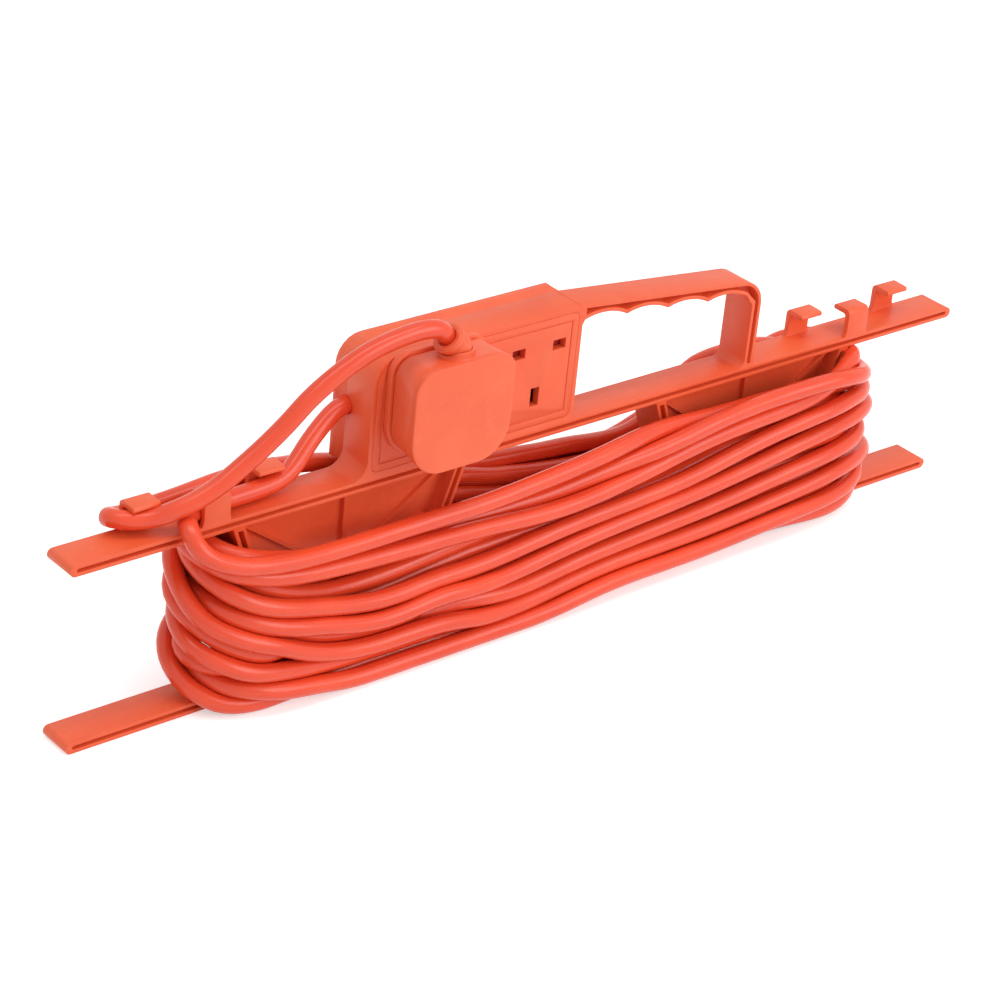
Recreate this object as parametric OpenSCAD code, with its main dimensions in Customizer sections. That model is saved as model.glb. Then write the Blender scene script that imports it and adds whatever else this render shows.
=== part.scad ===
// Two-gang 13 A extension lead on a flat H-shaped cable carrier, with its plug parked in gang 1.
// X runs along the bars, Y from front to back, Z up. The origin is the middle of the underside.

/* [Carrier bars] */
// Length of the top and the bottom bar
bar_length = 490; // [480:1:520]
// Depth of the frame from front to back
frame_depth = 17; // [16:0.5:19]
// Height of each bar
bar_height = 5; // [4.8:0.1:6]
// Clear height between the bars
bar_gap = 76; // [76:0.5:84]
// Rim left on each side of a groove
rim = 1.6; // [1.3:0.1:1.8]
// Depth of the grooves in the front and the back
groove_depth = 5.5; // [3:0.5:6.5]
// Solid length at each end of a bar's groove
groove_end = 3; // [2:0.5:8]

/* [Legs] */
// Middle of the left leg
left_leg_x = -109; // [-114:1:-106]
// Middle of the right leg
right_leg_x = 117.5; // [114:0.5:122]
// Half the width of a leg where it meets a bar
leg_half_width = 60; // [56:1:62]
// Half the width of a leg at its waist
leg_waist = 46.5; // [42:0.5:50]
// Width of the grooved edge of a leg
leg_edge = 5.4; // [5:0.1:7]
// Thickness of the panel inside a leg
leg_web = 3; // [2:0.5:5]
// Thickness of the ribs on the panel
rib_wall = 1.8; // [1.2:0.1:3]
// Height of the ribs over the panel
rib_height = 2.2; // [1:0.1:3.5]
// Diameter of the round boss on the left leg's panel
boss_d = 13; // [9:0.5:16]
// Distance of the round boss from the leg's waist
boss_inset = 6.5; // [6.5:0.5:10]
// Height of the round boss over the leg's middle
boss_rise = 9; // [6:0.5:12]

/* [Handle] */
// Outer side of the handle's post
handle_right = 115; // [112:0.5:120]
// Width of the handle's post
handle_post = 5.4; // [5:0.1:8]
// Fall of the handle's beam from the box to the post, in degrees
handle_slope = 6.2; // [4:0.1:7]
// Outer radius where the beam turns into the post
handle_corner = 13; // [9:0.5:16]
// Distance between two finger ridges
finger_pitch = 24.2; // [23:0.1:24.6]
// Depth of a finger hollow
finger_hollow = 2.4; // [1.5:0.1:2.8]
// Thickness of the beam over a finger ridge
beam_thickness = 6.8; // [6.2:0.1:8]
// Radius at the foot of the post
foot_radius = 4; // [2:0.5:6]

/* [Hooks] */
// Middles of the three hooks on the left, from the end of the bar inwards
left_hooks = [-206, -177, -146]; // [-215:1:-140]
// Middles of the three hooks on the right, from the middle outwards
right_hooks = [157, 181, 213]; // [150:1:220]
// Width of a hook at its top
hook_width = 12.5; // [11:0.5:14]
// Wall of a hook
hook_wall = 2.5; // [2:0.1:3]
// Clear height under a hook
hook_gap = 11; // [10.4:0.1:12]
// Reach of a hook's plate over the bar
hook_reach = 10.3; // [9:0.1:11]

/* [Socket box] */
// Left side of the box
box_left = -103; // [-104:0.5:-102]
// Right side of the box
box_right = 8; // [7.5:0.5:10]
// Height of the box over the top bar
box_height = 54; // [53:0.5:58]
// Wall of the box
box_wall = 2.2; // [1.8:0.1:2.4]
// Radius of the box's top left corner
box_corner = 12; // [10:0.5:14]
// Radius of the small corners inside the box's rim
inner_corner = 3; // [2:0.5:4]
// Radius of the flare between the box and the bar
box_flare = 8; // [5:0.5:12]
// How far the rear shell stands behind the frame
shell_depth = 9; // [8.5:0.5:12]
// Inset of the rear shell's side wall
shell_step = 1.2; // [0.8:0.1:1.4]
// Thickness of the lip behind the rear shell's side wall
shell_lip = 3; // [2.4:0.1:4]
// Thickness of the socket front
front_thickness = 3.6; // [3:0.1:4.2]
// Seam round the socket front
seam = 0.15; // [0.1:0.05:0.3]
// Width of the border on the socket front
border = 3.4; // [2.5:0.1:5]
// Diameter of the screws that hold the rear shell
cover_screw_d = 2.9; // [2.5:0.1:3.2]
// Depth of the cord's entry under the line and neutral pins
entry_drop = 11.4; // [11:0.1:12]

/* [Outlets] */
// Middle of the gang that holds the plug
gang_1_x = -72.3; // [-73.5:0.1:-71.5]
// Middle of the free gang
gang_2_x = -15.3; // [-16:0.1:-14.5]
// Depth of the line and neutral pins under the box's top
line_row = 15.3; // [14.8:0.1:15.8]
// Distance from the line and neutral row to the earth pin
earth_drop = 22.23; // [22.1:0.01:22.35]
// Distance between line and neutral
line_pitch = 22.23; // [22.1:0.01:22.35]
// Play round a pin in its aperture
aperture_play = 0.35; // [0.3:0.05:0.5]
// Travel of a shutter
shutter_travel = 5.2; // [5:0.1:5.6]
// Thickness of a shutter
shutter_thickness = 2; // [1.6:0.1:2.4]
// Play of a shutter in its guides
shutter_play = 0.25; // [0.2:0.05:0.4]
// Thickness of the brass in the contact strips
brass = 0.8; // [0.6:0.1:1]
// Depth of the contact strips behind the middle of the frame
strip_y = 10; // [9.8:0.1:10.4]

/* [Plug] */
// Width of the plug
plug_width = 51.5; // [49:0.5:54]
// Height of the plug over its earth end
plug_height = 50; // [48:0.5:52]
// Depth of the plug's body
plug_depth = 21.5; // [20:0.5:26]
// Draw-in of the plug's waist behind the front plate
plug_waist = 2.8; // [2.2:0.1:3.4]
// Thickness of the plug's base flange
plug_flange = 3.4; // [2.5:0.1:5]
// How far the base flange stands back from the front plate's outline
flange_inset = 1.2; // [0:0.1:1.6]
// Thickness of the plug's front plate
plug_plate = 4.4; // [3:0.1:6]
// Gap between the plug and the socket front
plug_gap = 0.2; // [0.1:0.05:0.4]
// Width of a line or neutral pin
pin_width = 6.35; // [6.2:0.05:6.45]
// Thickness of every pin
pin_thickness = 3.97; // [3.9:0.01:4.05]
// Length of a line or neutral pin
pin_length = 17.7; // [17.2:0.1:18.2]
// Width of the earth pin
earth_width = 7.92; // [7.8:0.01:8]
// Length of the earth pin
earth_length = 22.73; // [22.2:0.01:23]
// Length of a pin's sleeve
sleeve_length = 9.5; // [8.5:0.1:9.5]
// Wall of a pin's sleeve
sleeve_wall = 0.5; // [0.4:0.05:0.7]
// Outer diameter of the cord guard
guard_d = 12.6; // [12:0.1:13.4]

/* [Cord] */
// Outer diameter of the cord
cord_d = 8; // [7.8:0.1:8]
// Least gap between two turns of the winding
turn_gap = 0.42; // [0.41:0.01:0.45]
// Turns in the outer layer
outer_turns = 7; // [4:1:7]
// Turns in the inner layer
inner_turns = 8; // [5:1:8]
// Clearance between the winding and the frame
wind_gap = 0.7; // [0.5:0.1:1.2]
// Left end of the winding's straight runs
wind_left = -159; // [-165:1:-157]
// Right end of the winding's straight runs
wind_right = 166; // [164:1:180]
// Bulge of the inner layer past the end of its straight runs
wind_bulge = 20; // [20:1:27]
// Sag of the runs between the ends
wind_sag = 4; // [0:0.5:4.5]
// Belly of the runs away from the frame
wind_belly = 3; // [0:0.5:4]

/* [Hidden] */
$fn = 24;

// Colours
shell_orange = [0.93, 0.33, 0.16];
cord_orange = [0.95, 0.30, 0.15];
white_plastic = [0.93, 0.92, 0.88];
black_plastic = [0.10, 0.10, 0.11];
brass_yellow = [0.80, 0.62, 0.25];
steel_grey = [0.72, 0.72, 0.70];

// Planes of the frame
cut = 1;
half_depth = frame_depth / 2;
top_bar_z = bar_height + bar_gap;
bar_top = top_bar_z + bar_height;
mid_z = bar_height + bar_gap / 2;
box_top = bar_top + box_height;
shell_back = half_depth + shell_depth;
shell_floor = shell_back - box_wall;
front_back_y = -half_depth + front_thickness;

// Rows and columns of the outlets
row_z = box_top - line_row;
earth_z = row_z - earth_drop;
half_pitch = line_pitch / 2;
plug_base_y = -half_depth - plug_gap;
plug_front_y = plug_base_y - plug_depth;
pin_back_y = plug_base_y - 7.7;
fit = 0.05;

// ---------------------------------------------------------------- helpers

function unit(v) = v / norm(v);

// Points on an arc, or the corner itself where the radius is nothing
function arc(centre, radius, from, to, steps = 6) =
    radius > 0.01
    ? [for (i = [0:steps]) let (a = from + (to - from) * i / steps)
        [centre[0] + radius * cos(a), centre[1] + radius * sin(a)]]
    : [centre];

// Rectangle with four corner radii: bottom left, bottom right, top right, top left
function rounded(x0, x1, z0, z1, r) = concat(
    arc([x1 - r[2], z1 - r[2]], r[2], 0, 90),
    arc([x0 + r[3], z1 - r[3]], r[3], 90, 180),
    arc([x0 + r[0], z0 + r[0]], r[0], 180, 270),
    arc([x1 - r[1], z0 + r[1]], r[1], 270, 360));

// Draws an XZ outline as a plate from y0 back to y1
module plate_xz(y0, y1)
    translate([0, y1, 0])
        rotate([90, 0, 0])
            linear_extrude(height = y1 - y0)
                children();

// Draws a YZ outline as a plate from x0 to x1
module plate_yz(x0, x1)
    translate([x0, 0, 0])
        rotate([90, 0, 90])
            linear_extrude(height = x1 - x0)
                children();

module box(low, high)
    translate(low)
        cube(high - low);

// Cylinder along Y
module bar_y(x, z, y0, y1, d)
    translate([x, y0, z])
        rotate([-90, 0, 0])
            cylinder(d = d, h = y1 - y0);

// Cylinder along X
module bar_x(y, z, x0, x1, d)
    translate([x0, y, z])
        rotate([0, 90, 0])
            cylinder(d = d, h = x1 - x0);

// Cylinder between two points
module rod(a, b, d) {
    v = b - a;
    translate(a)
        rotate([0, acos(v[2] / norm(v)), atan2(v[1], v[0])])
            cylinder(d = d, h = norm(v));
}

// ---------------------------------------------------------------- carrier frame

module bar(z0) {
    r = bar_height / 2;
    plate_xz(-half_depth, half_depth) {
        translate([-bar_length / 2 + r, z0])
            square([bar_length - 2 * r, bar_height]);
        for (s = [-1, 1])
            translate([s * (bar_length / 2 - r), z0 + r])
                circle(d = bar_height);
    }
}

// Grooves are cut from both faces
module both_faces()
    for (s = [0, 1])
        mirror([0, s, 0])
            plate_xz(-half_depth - cut, -half_depth + groove_depth)
                children();

module bar_groove(z0) {
    height = bar_height - 2 * rim;
    end = bar_length / 2 - groove_end - height / 2;
    both_faces() {
        translate([-end, z0 + rim])
            square([2 * end, height]);
        for (s = [-1, 1])
            translate([s * end, z0 + bar_height / 2])
                circle(d = height);
    }
}

// Outline of a leg drawn in by a distance measured across its sides
function leg_outline(inset, z_low, z_high) = [
    [-leg_half_width + inset, z_low], [leg_half_width - inset, z_low],
    [leg_waist - inset, mid_z], [leg_half_width - inset, z_high],
    [-leg_half_width + inset, z_high], [-leg_waist + inset, mid_z]];

module leg(x) {
    z_low = bar_height - 0.5;
    z_high = top_bar_z + 0.5;
    diagonal = atan2(bar_gap / 2, leg_half_width - leg_edge);
    translate([x, 0, 0]) {
        plate_xz(-leg_web / 2, leg_web / 2)
            polygon(leg_outline(1, z_low, z_high));
        plate_xz(-half_depth, half_depth)
            difference() {
                polygon(leg_outline(0, z_low, z_high));
                polygon(leg_outline(leg_edge, z_low - cut, z_high + cut));
            }
        rib_half = leg_web / 2 + rib_height;
        plate_xz(-rib_half, rib_half)
            intersection() {
                union() {
                    translate([-rib_wall / 2, z_low])
                        square([rib_wall, z_high - z_low]);
                    for (s = [-1, 1])
                        translate([0, mid_z])
                            rotate(s * diagonal)
                                translate([-leg_half_width * 1.5, -rib_wall / 2])
                                    square([leg_half_width * 3, rib_wall]);
                }
                polygon(leg_outline(leg_edge / 2, z_low, z_high));
            }
    }
}

module leg_groove(x)
    translate([x, 0, 0])
        both_faces()
            intersection() {
                difference() {
                    polygon(leg_outline(rim, bar_height - cut, top_bar_z + cut));
                    polygon(leg_outline(leg_edge - rim, bar_height - cut * 2, top_bar_z + cut * 2));
                }
                translate([-leg_half_width, bar_height + rim])
                    square([leg_half_width * 2, bar_gap - 2 * rim]);
            }

// Height of the handle's outer line over a place on the bar
function beam_line(x) = box_top - (x - box_right) * tan(handle_slope);

function handle_outline(inset) =
    let (
        corner_x = handle_right - handle_corner,
        corner = [corner_x, beam_line(corner_x) - handle_corner / cos(handle_slope)],
        start_x = box_right - 1.5
    )
    concat(
        [[start_x, bar_top - 1], [start_x, beam_line(start_x) - inset / cos(handle_slope)]],
        arc(corner, handle_corner - inset, 90 - handle_slope, 0, 8),
        [[handle_right - inset, bar_top - 1]]);

// Hand hole under the beam, grown outwards by a distance
function handle_hole(grow) =
    let (
        radius = (finger_pitch * finger_pitch / 4 + finger_hollow * finger_hollow)
            / (2 * finger_hollow),
        drop = sqrt(radius * radius - finger_pitch * finger_pitch / 4),
        grown = radius + grow,
        turn = acos(finger_pitch / 2 / grown),
        hole_right = handle_right - handle_post + grow,
        first = box_right + 2,
        along = [cos(handle_slope), -sin(handle_slope)],
        down = [-sin(handle_slope), -cos(handle_slope)],
        origin = [first, beam_line(first)] + (beam_thickness + drop) * down,
        hollows = [for (i = [0:3])
            arc(origin + along * finger_pitch * (i + 0.5), grown,
                turn - handle_slope, 180 - turn - handle_slope, 8)],
        last = hollows[3][0]
    )
    concat(
        [[hole_right, last[1] - 5.5], last],
        [for (i = [3:-1:0]) for (j = [0:8]) if (!(i == 3 && j == 0)) hollows[i][j]],
        [[box_right - grow, hollows[0][8][1] - 2.3 + grow]]);

module handle()
    plate_xz(-half_depth, half_depth)
        difference() {
            polygon(handle_outline(0));
            polygon(concat(
                handle_hole(0),
                [[box_right, bar_top - 2 * cut]],
                [[handle_right - handle_post, bar_top - 2 * cut]]));
        }

module handle_groove()
    both_faces()
        intersection() {
            difference() {
                polygon(handle_outline(rim));
                polygon(concat(
                    handle_hole(rim),
                    [[box_right - rim, bar_top - 2 * cut]],
                    [[handle_right - handle_post + rim, bar_top - 2 * cut]]));
            }
            translate([box_right + rim, bar_top + rim])
                square([handle_right - box_right, box_height]);
        }

// Small fillets on both sides of the handle's foot
module handle_foot()
    plate_xz(-half_depth, half_depth)
        for (side = [[handle_right, 1], [handle_right - handle_post, -1]])
            translate([side[0], bar_top])
                difference() {
                    translate([side[1] > 0 ? -0.5 : -foot_radius, -0.5])
                        square([foot_radius + 0.5, foot_radius + 0.5]);
                    translate([side[1] * foot_radius, foot_radius])
                        circle(r = foot_radius);
                }

// Outline of the box drawn in by a distance; only the rim's outer corners are sharp
function box_outline(inset, z_low) =
    let (small = inset < box_wall ? 0 : max(0.3, inner_corner - (inset - box_wall)))
    rounded(box_left + inset, box_right - inset, z_low, box_top - inset,
        [small, small, small, box_corner - inset]);

module box_ring() {
    plate_xz(-half_depth, half_depth)
        difference() {
            polygon(box_outline(0, bar_top - 1));
            polygon(box_outline(box_wall, bar_top + box_wall));
        }
    // Ledge that the socket front is seated on
    plate_xz(front_back_y, front_back_y + ledge)
        difference() {
            polygon(box_outline(box_wall - 0.5, bar_top + box_wall - 0.5));
            polygon(box_outline(box_wall + ledge, bar_top + box_wall + ledge));
        }
    // Flare at the foot of the left wall
    plate_xz(-half_depth, half_depth)
        difference() {
            translate([box_left - box_flare, bar_top - 0.5])
                square([box_flare + 1, box_flare + 0.5]);
            translate([box_left - box_flare, bar_top + box_flare])
                circle(r = box_flare);
        }
}

// One hook with its stem at the back; its plate reaches to the front
module hook(x) {
    z_plate = bar_top + hook_gap;
    z_top = z_plate + hook_wall;
    y_tip = half_depth - hook_reach;
    flare = 1;
    intersection() {
        plate_yz(x - hook_width, x + hook_width)
            polygon(concat(
                [[half_depth, bar_top - 1]],
                arc([half_depth - hook_wall, z_top - hook_wall], hook_wall, 0, 90),
                arc([y_tip + 1, z_top - 1.2], 1, 90, 180, 3),
                [[y_tip, z_plate + 0.6], [y_tip + 0.6, z_plate]],
                arc([half_depth - hook_wall - 1.5, z_plate - 1.5], 1.5, 90, 0, 3),
                [[half_depth - hook_wall, bar_top - 1]]));
        plate_xz(-half_depth - cut, half_depth + cut)
            polygon([
                [x - hook_width / 2 - flare, bar_top - 1], [x + hook_width / 2 + flare, bar_top - 1],
                [x + hook_width / 2, bar_top + 3], [x + hook_width / 2, z_top + cut],
                [x - hook_width / 2, z_top + cut], [x - hook_width / 2, bar_top + 3]]);
    }
}

module hooks() {
    for (side = [left_hooks, right_hooks]) {
        hook(side[0]);
        mirror([0, 1, 0])
            hook(side[1]);
        hook(side[2]);
    }
}

module cord_hole()
    bar_x(entry[1], entry[2], box_left - cut, box_left + 8, cord_d + 0.4);

module carrier_frame()
    color(shell_orange)
        difference() {
            union() {
                bar(0);
                bar(top_bar_z);
                leg(left_leg_x);
                leg(right_leg_x);
                // Round boss on the left leg's panel
                bar_y(left_leg_x + leg_waist - boss_inset, mid_z + boss_rise, -half_depth + 2, 0, boss_d);
                handle();
                handle_foot();
                box_ring();
                hooks();
            }
            bar_groove(0);
            bar_groove(top_bar_z);
            leg_groove(left_leg_x);
            leg_groove(right_leg_x);
            handle_groove();
            cord_hole();
        }

// ---------------------------------------------------------------- socket box

// Where the four screws of the rear shell stand
ledge = 0.9;
cover_boss_d = 4.8;
cover_seat_d = cover_boss_d + 1.7;
cover_inset = box_wall + shell_step + cover_boss_d / 2 + 0.1;
cover_points = [
    [box_left + cover_inset + 3, box_top - cover_inset - 1.4],
    [box_left + cover_inset + 2, bar_top + cover_inset],
    [box_right - cover_inset, bar_top + cover_inset], [box_right - cover_inset, box_top - cover_inset]];
cover_join_y = half_depth + 3.5;
head_d = cover_screw_d * 1.95;
head_h = 2;

// Where the cord comes in through the left wall
entry = [box_left, half_depth, row_z - entry_drop];

// Cuts the three apertures of one gang
module apertures(x, play, y0, y1) {
    for (s = [-1, 1])
        box([x + s * half_pitch - pin_width / 2 - play, y0, row_z - pin_thickness / 2 - play],
            [x + s * half_pitch + pin_width / 2 + play, y1, row_z + pin_thickness / 2 + play]);
    box([x - pin_thickness / 2 - play, y0, earth_z - earth_width / 2 - play],
        [x + pin_thickness / 2 + play, y1, earth_z + earth_width / 2 + play]);
}

bar_half = half_pitch + pin_width / 2 + 0.9;
shutter_y = front_back_y + shutter_play;
shutter_low = row_z - pin_thickness / 2 - 0.5;
shutter_high = shutter_low + pin_thickness + 1;
open_tip = earth_z + earth_width / 2 + 0.1;
spring_d = 4;
spring_y = shutter_y + spring_d / 2 + 0.2;
seat_z = box_top - box_wall - ledge - 1.6;

// Guides and spring seat for one shutter, standing on the back of the socket front
module shutter_guides(x) {
    rail_z0 = shutter_low - 2;
    rail_z1 = shutter_high + shutter_travel + 1;
    y_end = shutter_y + shutter_thickness + shutter_play;
    for (s = [-1, 1])
        translate([x, 0, 0])
            mirror([s < 0 ? 1 : 0, 0, 0]) {
                box([bar_half + shutter_play, front_back_y - 0.2, rail_z0],
                    [bar_half + shutter_play + 1.2, y_end + 0.9, rail_z1]);
                box([bar_half - 0.6, y_end, rail_z0],
                    [bar_half + shutter_play + 1.2, y_end + 0.9, rail_z1]);
            }
    box([x - 3.5, front_back_y - 0.2, seat_z],
        [x + 3.5, spring_y + spring_d / 2 + 0.4, seat_z + 1.4]);
}

module socket_front()
    color(shell_orange)
        difference() {
            union() {
                plate_xz(-half_depth, front_back_y)
                    polygon(box_outline(box_wall + seam, bar_top + box_wall + seam));
                for (p = cover_points)
                    bar_y(p[0], p[1], front_back_y - 0.2, cover_join_y - 0.1, cover_boss_d);
                shutter_guides(gang_1_x);
                shutter_guides(gang_2_x);
            }
            // Fine line that sets off the border
            plate_xz(-half_depth - cut, -half_depth + 0.4)
                difference() {
                    polygon(box_outline(box_wall + border, bar_top + box_wall + border));
                    polygon(box_outline(box_wall + border + 0.6, bar_top + box_wall + border + 0.6));
                }
            apertures(gang_1_x, aperture_play, -half_depth - cut, front_back_y + cut);
            apertures(gang_2_x, aperture_play, -half_depth - cut, front_back_y + cut);
            for (p = cover_points)
                bar_y(p[0], p[1], front_back_y + 1.4, cover_join_y + cut, cover_screw_d + 2 * fit);
        }

// Places that the contact strips are carried on
strip_back = strip_y + brass;
post_d = 6;
terminal_d = 2.9;
jaw_half = pin_width / 2 + 0.6;
jaw_rise = pin_thickness / 2 + 1.7;
run_near = jaw_rise + 2;
run_width = 3.5;
run_far = run_near + run_width;
tab_half = terminal_d + 0.1;
live_terminal = [box_left + 12.4, row_z - 0.7];
neutral_terminal = [box_left + 18.5, row_z - 7.7];
earth_terminal = [box_left + 18.5, row_z - 15.2];
terminals = [live_terminal, neutral_terminal, earth_terminal];
grip_x = box_left + 6.4;
grip_reach = cord_d / 2 + 4.2;
grip_half = 2.2;
grip_screw_d = 2.3;

module socket_back() {
    step = shell_step;
    lip_y = shell_back - shell_lip;
    color(shell_orange)
        difference() {
            union() {
                plate_xz(half_depth, lip_y + 0.5)
                    polygon(box_outline(step, bar_top + step));
                plate_xz(lip_y, shell_back)
                    polygon(box_outline(0, bar_top + 0.3));
            }
            difference() {
                plate_xz(half_depth - cut, shell_floor)
                    polygon(box_outline(step + box_wall, bar_top + step + box_wall));
                for (p = cover_points)
                    bar_y(p[0], p[1], cover_join_y, shell_floor + cut, cover_seat_d);
                for (p = terminals)
                    bar_y(p[0], p[1], strip_back, shell_floor + cut, post_d);
                for (x = [gang_1_x, gang_2_x], s = [-1, 1])
                    box([x + s * half_pitch - 0.8, strip_back, row_z - 3],
                        [x + s * half_pitch + 0.8, shell_floor + cut, row_z + 3]);
                for (x = [gang_1_x, gang_2_x])
                    box([x - 1, strip_back, earth_z + earth_width / 2 + 1.2],
                        [x + 1, shell_floor + cut, earth_z + earth_width / 2 + 4.8]);
                // Seat and screw posts of the cord grip
                box([grip_x - grip_half, entry[1] + cord_d / 2 + fit, entry[2] - 4],
                    [grip_x + grip_half, shell_floor + cut, entry[2] + 4]);
                for (s = [-1, 1])
                    bar_y(grip_x, entry[2] + s * grip_reach, half_depth - 3.4,
                        shell_floor + cut, 2 * grip_half);
            }
            for (p = cover_points) {
                bar_y(p[0], p[1], cover_join_y - cut, shell_back + cut, cover_screw_d + 0.4);
                bar_y(p[0], p[1], shell_back - head_h - 0.2, shell_back + cut, head_d + 0.5);
            }
            for (p = terminals)
                bar_y(p[0], p[1], strip_back - cut, shell_floor - 0.6, terminal_d + 2 * fit);
            for (s = [-1, 1])
                bar_y(grip_x, entry[2] + s * grip_reach, half_depth - 5,
                    shell_floor - 1, grip_screw_d + 2 * fit);
            cord_hole();
        }
}

module cover_screws()
    color(steel_grey)
        for (p = cover_points) {
            head_y = shell_back - head_h - 0.2;
            difference() {
                bar_y(p[0], p[1], head_y, shell_back - 0.2, head_d);
                box([p[0] - head_d, shell_back - 0.9, p[1] - 0.4],
                    [p[0] + head_d, shell_back + cut, p[1] + 0.4]);
            }
            bar_y(p[0], p[1], front_back_y + 2.4, head_y + 0.01, cover_screw_d);
        }

// Shutter drawn closed and then lifted
module shutter(x, lift)
    color(white_plastic)
        translate([0, 0, lift]) {
            y0 = shutter_y;
            y1 = shutter_y + shutter_thickness;
            tip = open_tip - shutter_travel;
            box([x - bar_half, y0, shutter_low], [x + bar_half, y1, shutter_high]);
            box([x - 3, y0, shutter_high - 3.4], [x + 3, spring_y + spring_d / 2, shutter_high]);
            box([x - 1.9, y0, open_tip + 4], [x + 1.9, y1, shutter_low + cut]);
            plate_yz(x - 1.9, x + 1.9)
                polygon([
                    [y0, open_tip + 0.4], [y0, open_tip + 5], [y1 + 4.4, open_tip + 5],
                    [y1 + 4.4, tip], [y1 + 3.6, tip]]);
        }

// Spring between a shutter's block and its seat
module shutter_spring(x, lift)
    color(steel_grey)
        translate([x, spring_y, shutter_high + lift + fit])
            difference() {
                cylinder(d = spring_d - 0.2, h = seat_z - shutter_high - lift - 2 * fit);
                translate([0, 0, -cut])
                    cylinder(d = spring_d - 1.4, h = seat_z - shutter_high + cut * 2);
            }

// Two leaves over and under a line or neutral pin, on a plate behind its tip
module line_jaw(x) {
    inner = pin_thickness / 2 + 0.08;
    for (s = [-1, 1])
        box([x - 3.2, 2.2, row_z + (s > 0 ? inner : -inner - brass)],
            [x + 3.2, strip_y + fit, row_z + (s > 0 ? inner + brass : -inner)]);
    box([x - jaw_half, strip_y, row_z - jaw_rise], [x + jaw_half, strip_back, row_z + jaw_rise]);
}

// Tab with the hole for a terminal screw
module terminal_hole(p)
    bar_y(p[0], p[1], strip_y - cut, strip_back + cut, terminal_d + 0.3);

module line_strip() {
    x1 = gang_1_x - half_pitch;
    x2 = gang_2_x - half_pitch;
    color(brass_yellow)
        difference() {
            union() {
                line_jaw(x1);
                line_jaw(x2);
                for (x = [x1, x2])
                    box([x - jaw_half, strip_y, row_z], [x + jaw_half, strip_back, row_z + run_far]);
                box([x1 - jaw_half, strip_y, row_z + run_near],
                    [x2 + jaw_half, strip_back, row_z + run_far]);
                box([live_terminal[0] - tab_half, strip_y, live_terminal[1] - tab_half],
                    [x1, strip_back, live_terminal[1] + tab_half]);
            }
            terminal_hole(live_terminal);
        }
}

module neutral_strip() {
    x1 = gang_1_x + half_pitch;
    x2 = gang_2_x + half_pitch;
    p = neutral_terminal;
    color(brass_yellow)
        difference() {
            union() {
                line_jaw(x1);
                line_jaw(x2);
                for (x = [x1, x2])
                    box([x - jaw_half, strip_y, row_z - run_far], [x + jaw_half, strip_back, row_z]);
                box([p[0] - tab_half, strip_y, row_z - run_far],
                    [x2 + jaw_half, strip_back, row_z - run_near]);
                box([p[0] - tab_half, strip_y, p[1] - tab_half],
                    [p[0] + tab_half, strip_back, p[1] + tab_half]);
            }
            terminal_hole(p);
        }
}

module earth_strip() {
    inner = pin_thickness / 2 + 0.08;
    z_run = earth_z + earth_width / 2 + 1;
    p = earth_terminal;
    color(brass_yellow)
        difference() {
            union() {
                for (x = [gang_1_x, gang_2_x]) {
                    for (s = [-1, 1])
                        box([x + (s > 0 ? inner : -inner - brass), shutter_y + shutter_thickness + 4.8,
                                earth_z - earth_width / 2],
                            [x + (s > 0 ? inner + brass : -inner), strip_back, z_run + 0.5]);
                    box([x - inner - brass, 6, z_run - brass / 2],
                        [x + inner + brass, strip_back, z_run + brass / 2]);
                }
                box([p[0] - tab_half, strip_y, z_run],
                    [gang_2_x + inner + brass, strip_back, z_run + run_width]);
                box([p[0] - tab_half, strip_y, p[1] - tab_half],
                    [p[0] + tab_half, strip_back, p[1] + tab_half]);
            }
            terminal_hole(p);
        }
}

module terminal_screws()
    color(brass_yellow)
        for (p = terminals) {
            bar_y(p[0], p[1], strip_y - 2.8, strip_y - 1, 5.4);
            bar_y(p[0], p[1], strip_y - 1.01, shell_floor - 0.8, terminal_d);
        }

grip_face = entry[1] - cord_d / 2 - fit;

module cord_grip()
    color(white_plastic)
        difference() {
            box([grip_x - grip_half + 0.1, grip_face - 2.6, entry[2] - grip_reach - grip_half],
                [grip_x + grip_half - 0.1, grip_face, entry[2] + grip_reach + grip_half]);
            for (s = [-1, 1])
                bar_y(grip_x, entry[2] + s * grip_reach, grip_face - 4, grip_face + cut,
                    grip_screw_d + 0.3);
        }

module cord_grip_screws()
    color(steel_grey)
        for (s = [-1, 1]) {
            z = entry[2] + s * grip_reach;
            bar_y(grip_x, z, grip_face - 4, grip_face - 2.6, 4);
            bar_y(grip_x, z, grip_face - 2.61, shell_floor - 1.2, grip_screw_d);
        }

// Insulated core and its bare end
core_d = 2.4;
bare_d = 0.9;
sheath_end = grip_x + grip_half + 0.9;

module core(a, b, c) {
    rod(a, b, core_d);
    rod(b - (c - b) * 0.02, c, bare_d);
}

module live_core() {
    x = live_terminal[0] - terminal_d / 2 - bare_d / 2 - fit;
    color([0.45, 0.25, 0.14])
        core([sheath_end + core_d / 2 + 0.2, entry[1], entry[2] + 2.3],
            [x, strip_y - 0.5, row_z - 4.9],
            [x, strip_y - 0.5, live_terminal[1] + 1.2]);
}

module neutral_core() {
    p = neutral_terminal;
    z = p[1] - terminal_d / 2 - bare_d / 2 - fit;
    color([0.16, 0.36, 0.72])
        core([sheath_end + core_d / 2, entry[1] - 1.6, entry[2] - 0.9],
            [p[0] - 4.4, strip_y - 0.5, z],
            [p[0] + 1.2, strip_y - 0.5, z]);
}

module earth_core() {
    p = earth_terminal;
    z = p[1] + terminal_d / 2 + bare_d / 2 + fit;
    color([0.42, 0.66, 0.22])
        core([sheath_end + core_d / 2, entry[1] + 1.6, entry[2] - 0.9],
            [p[0] - 4.4, strip_y - 0.5, z],
            [p[0] + 1.2, strip_y - 0.5, z]);
}

// ---------------------------------------------------------------- plug

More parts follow.
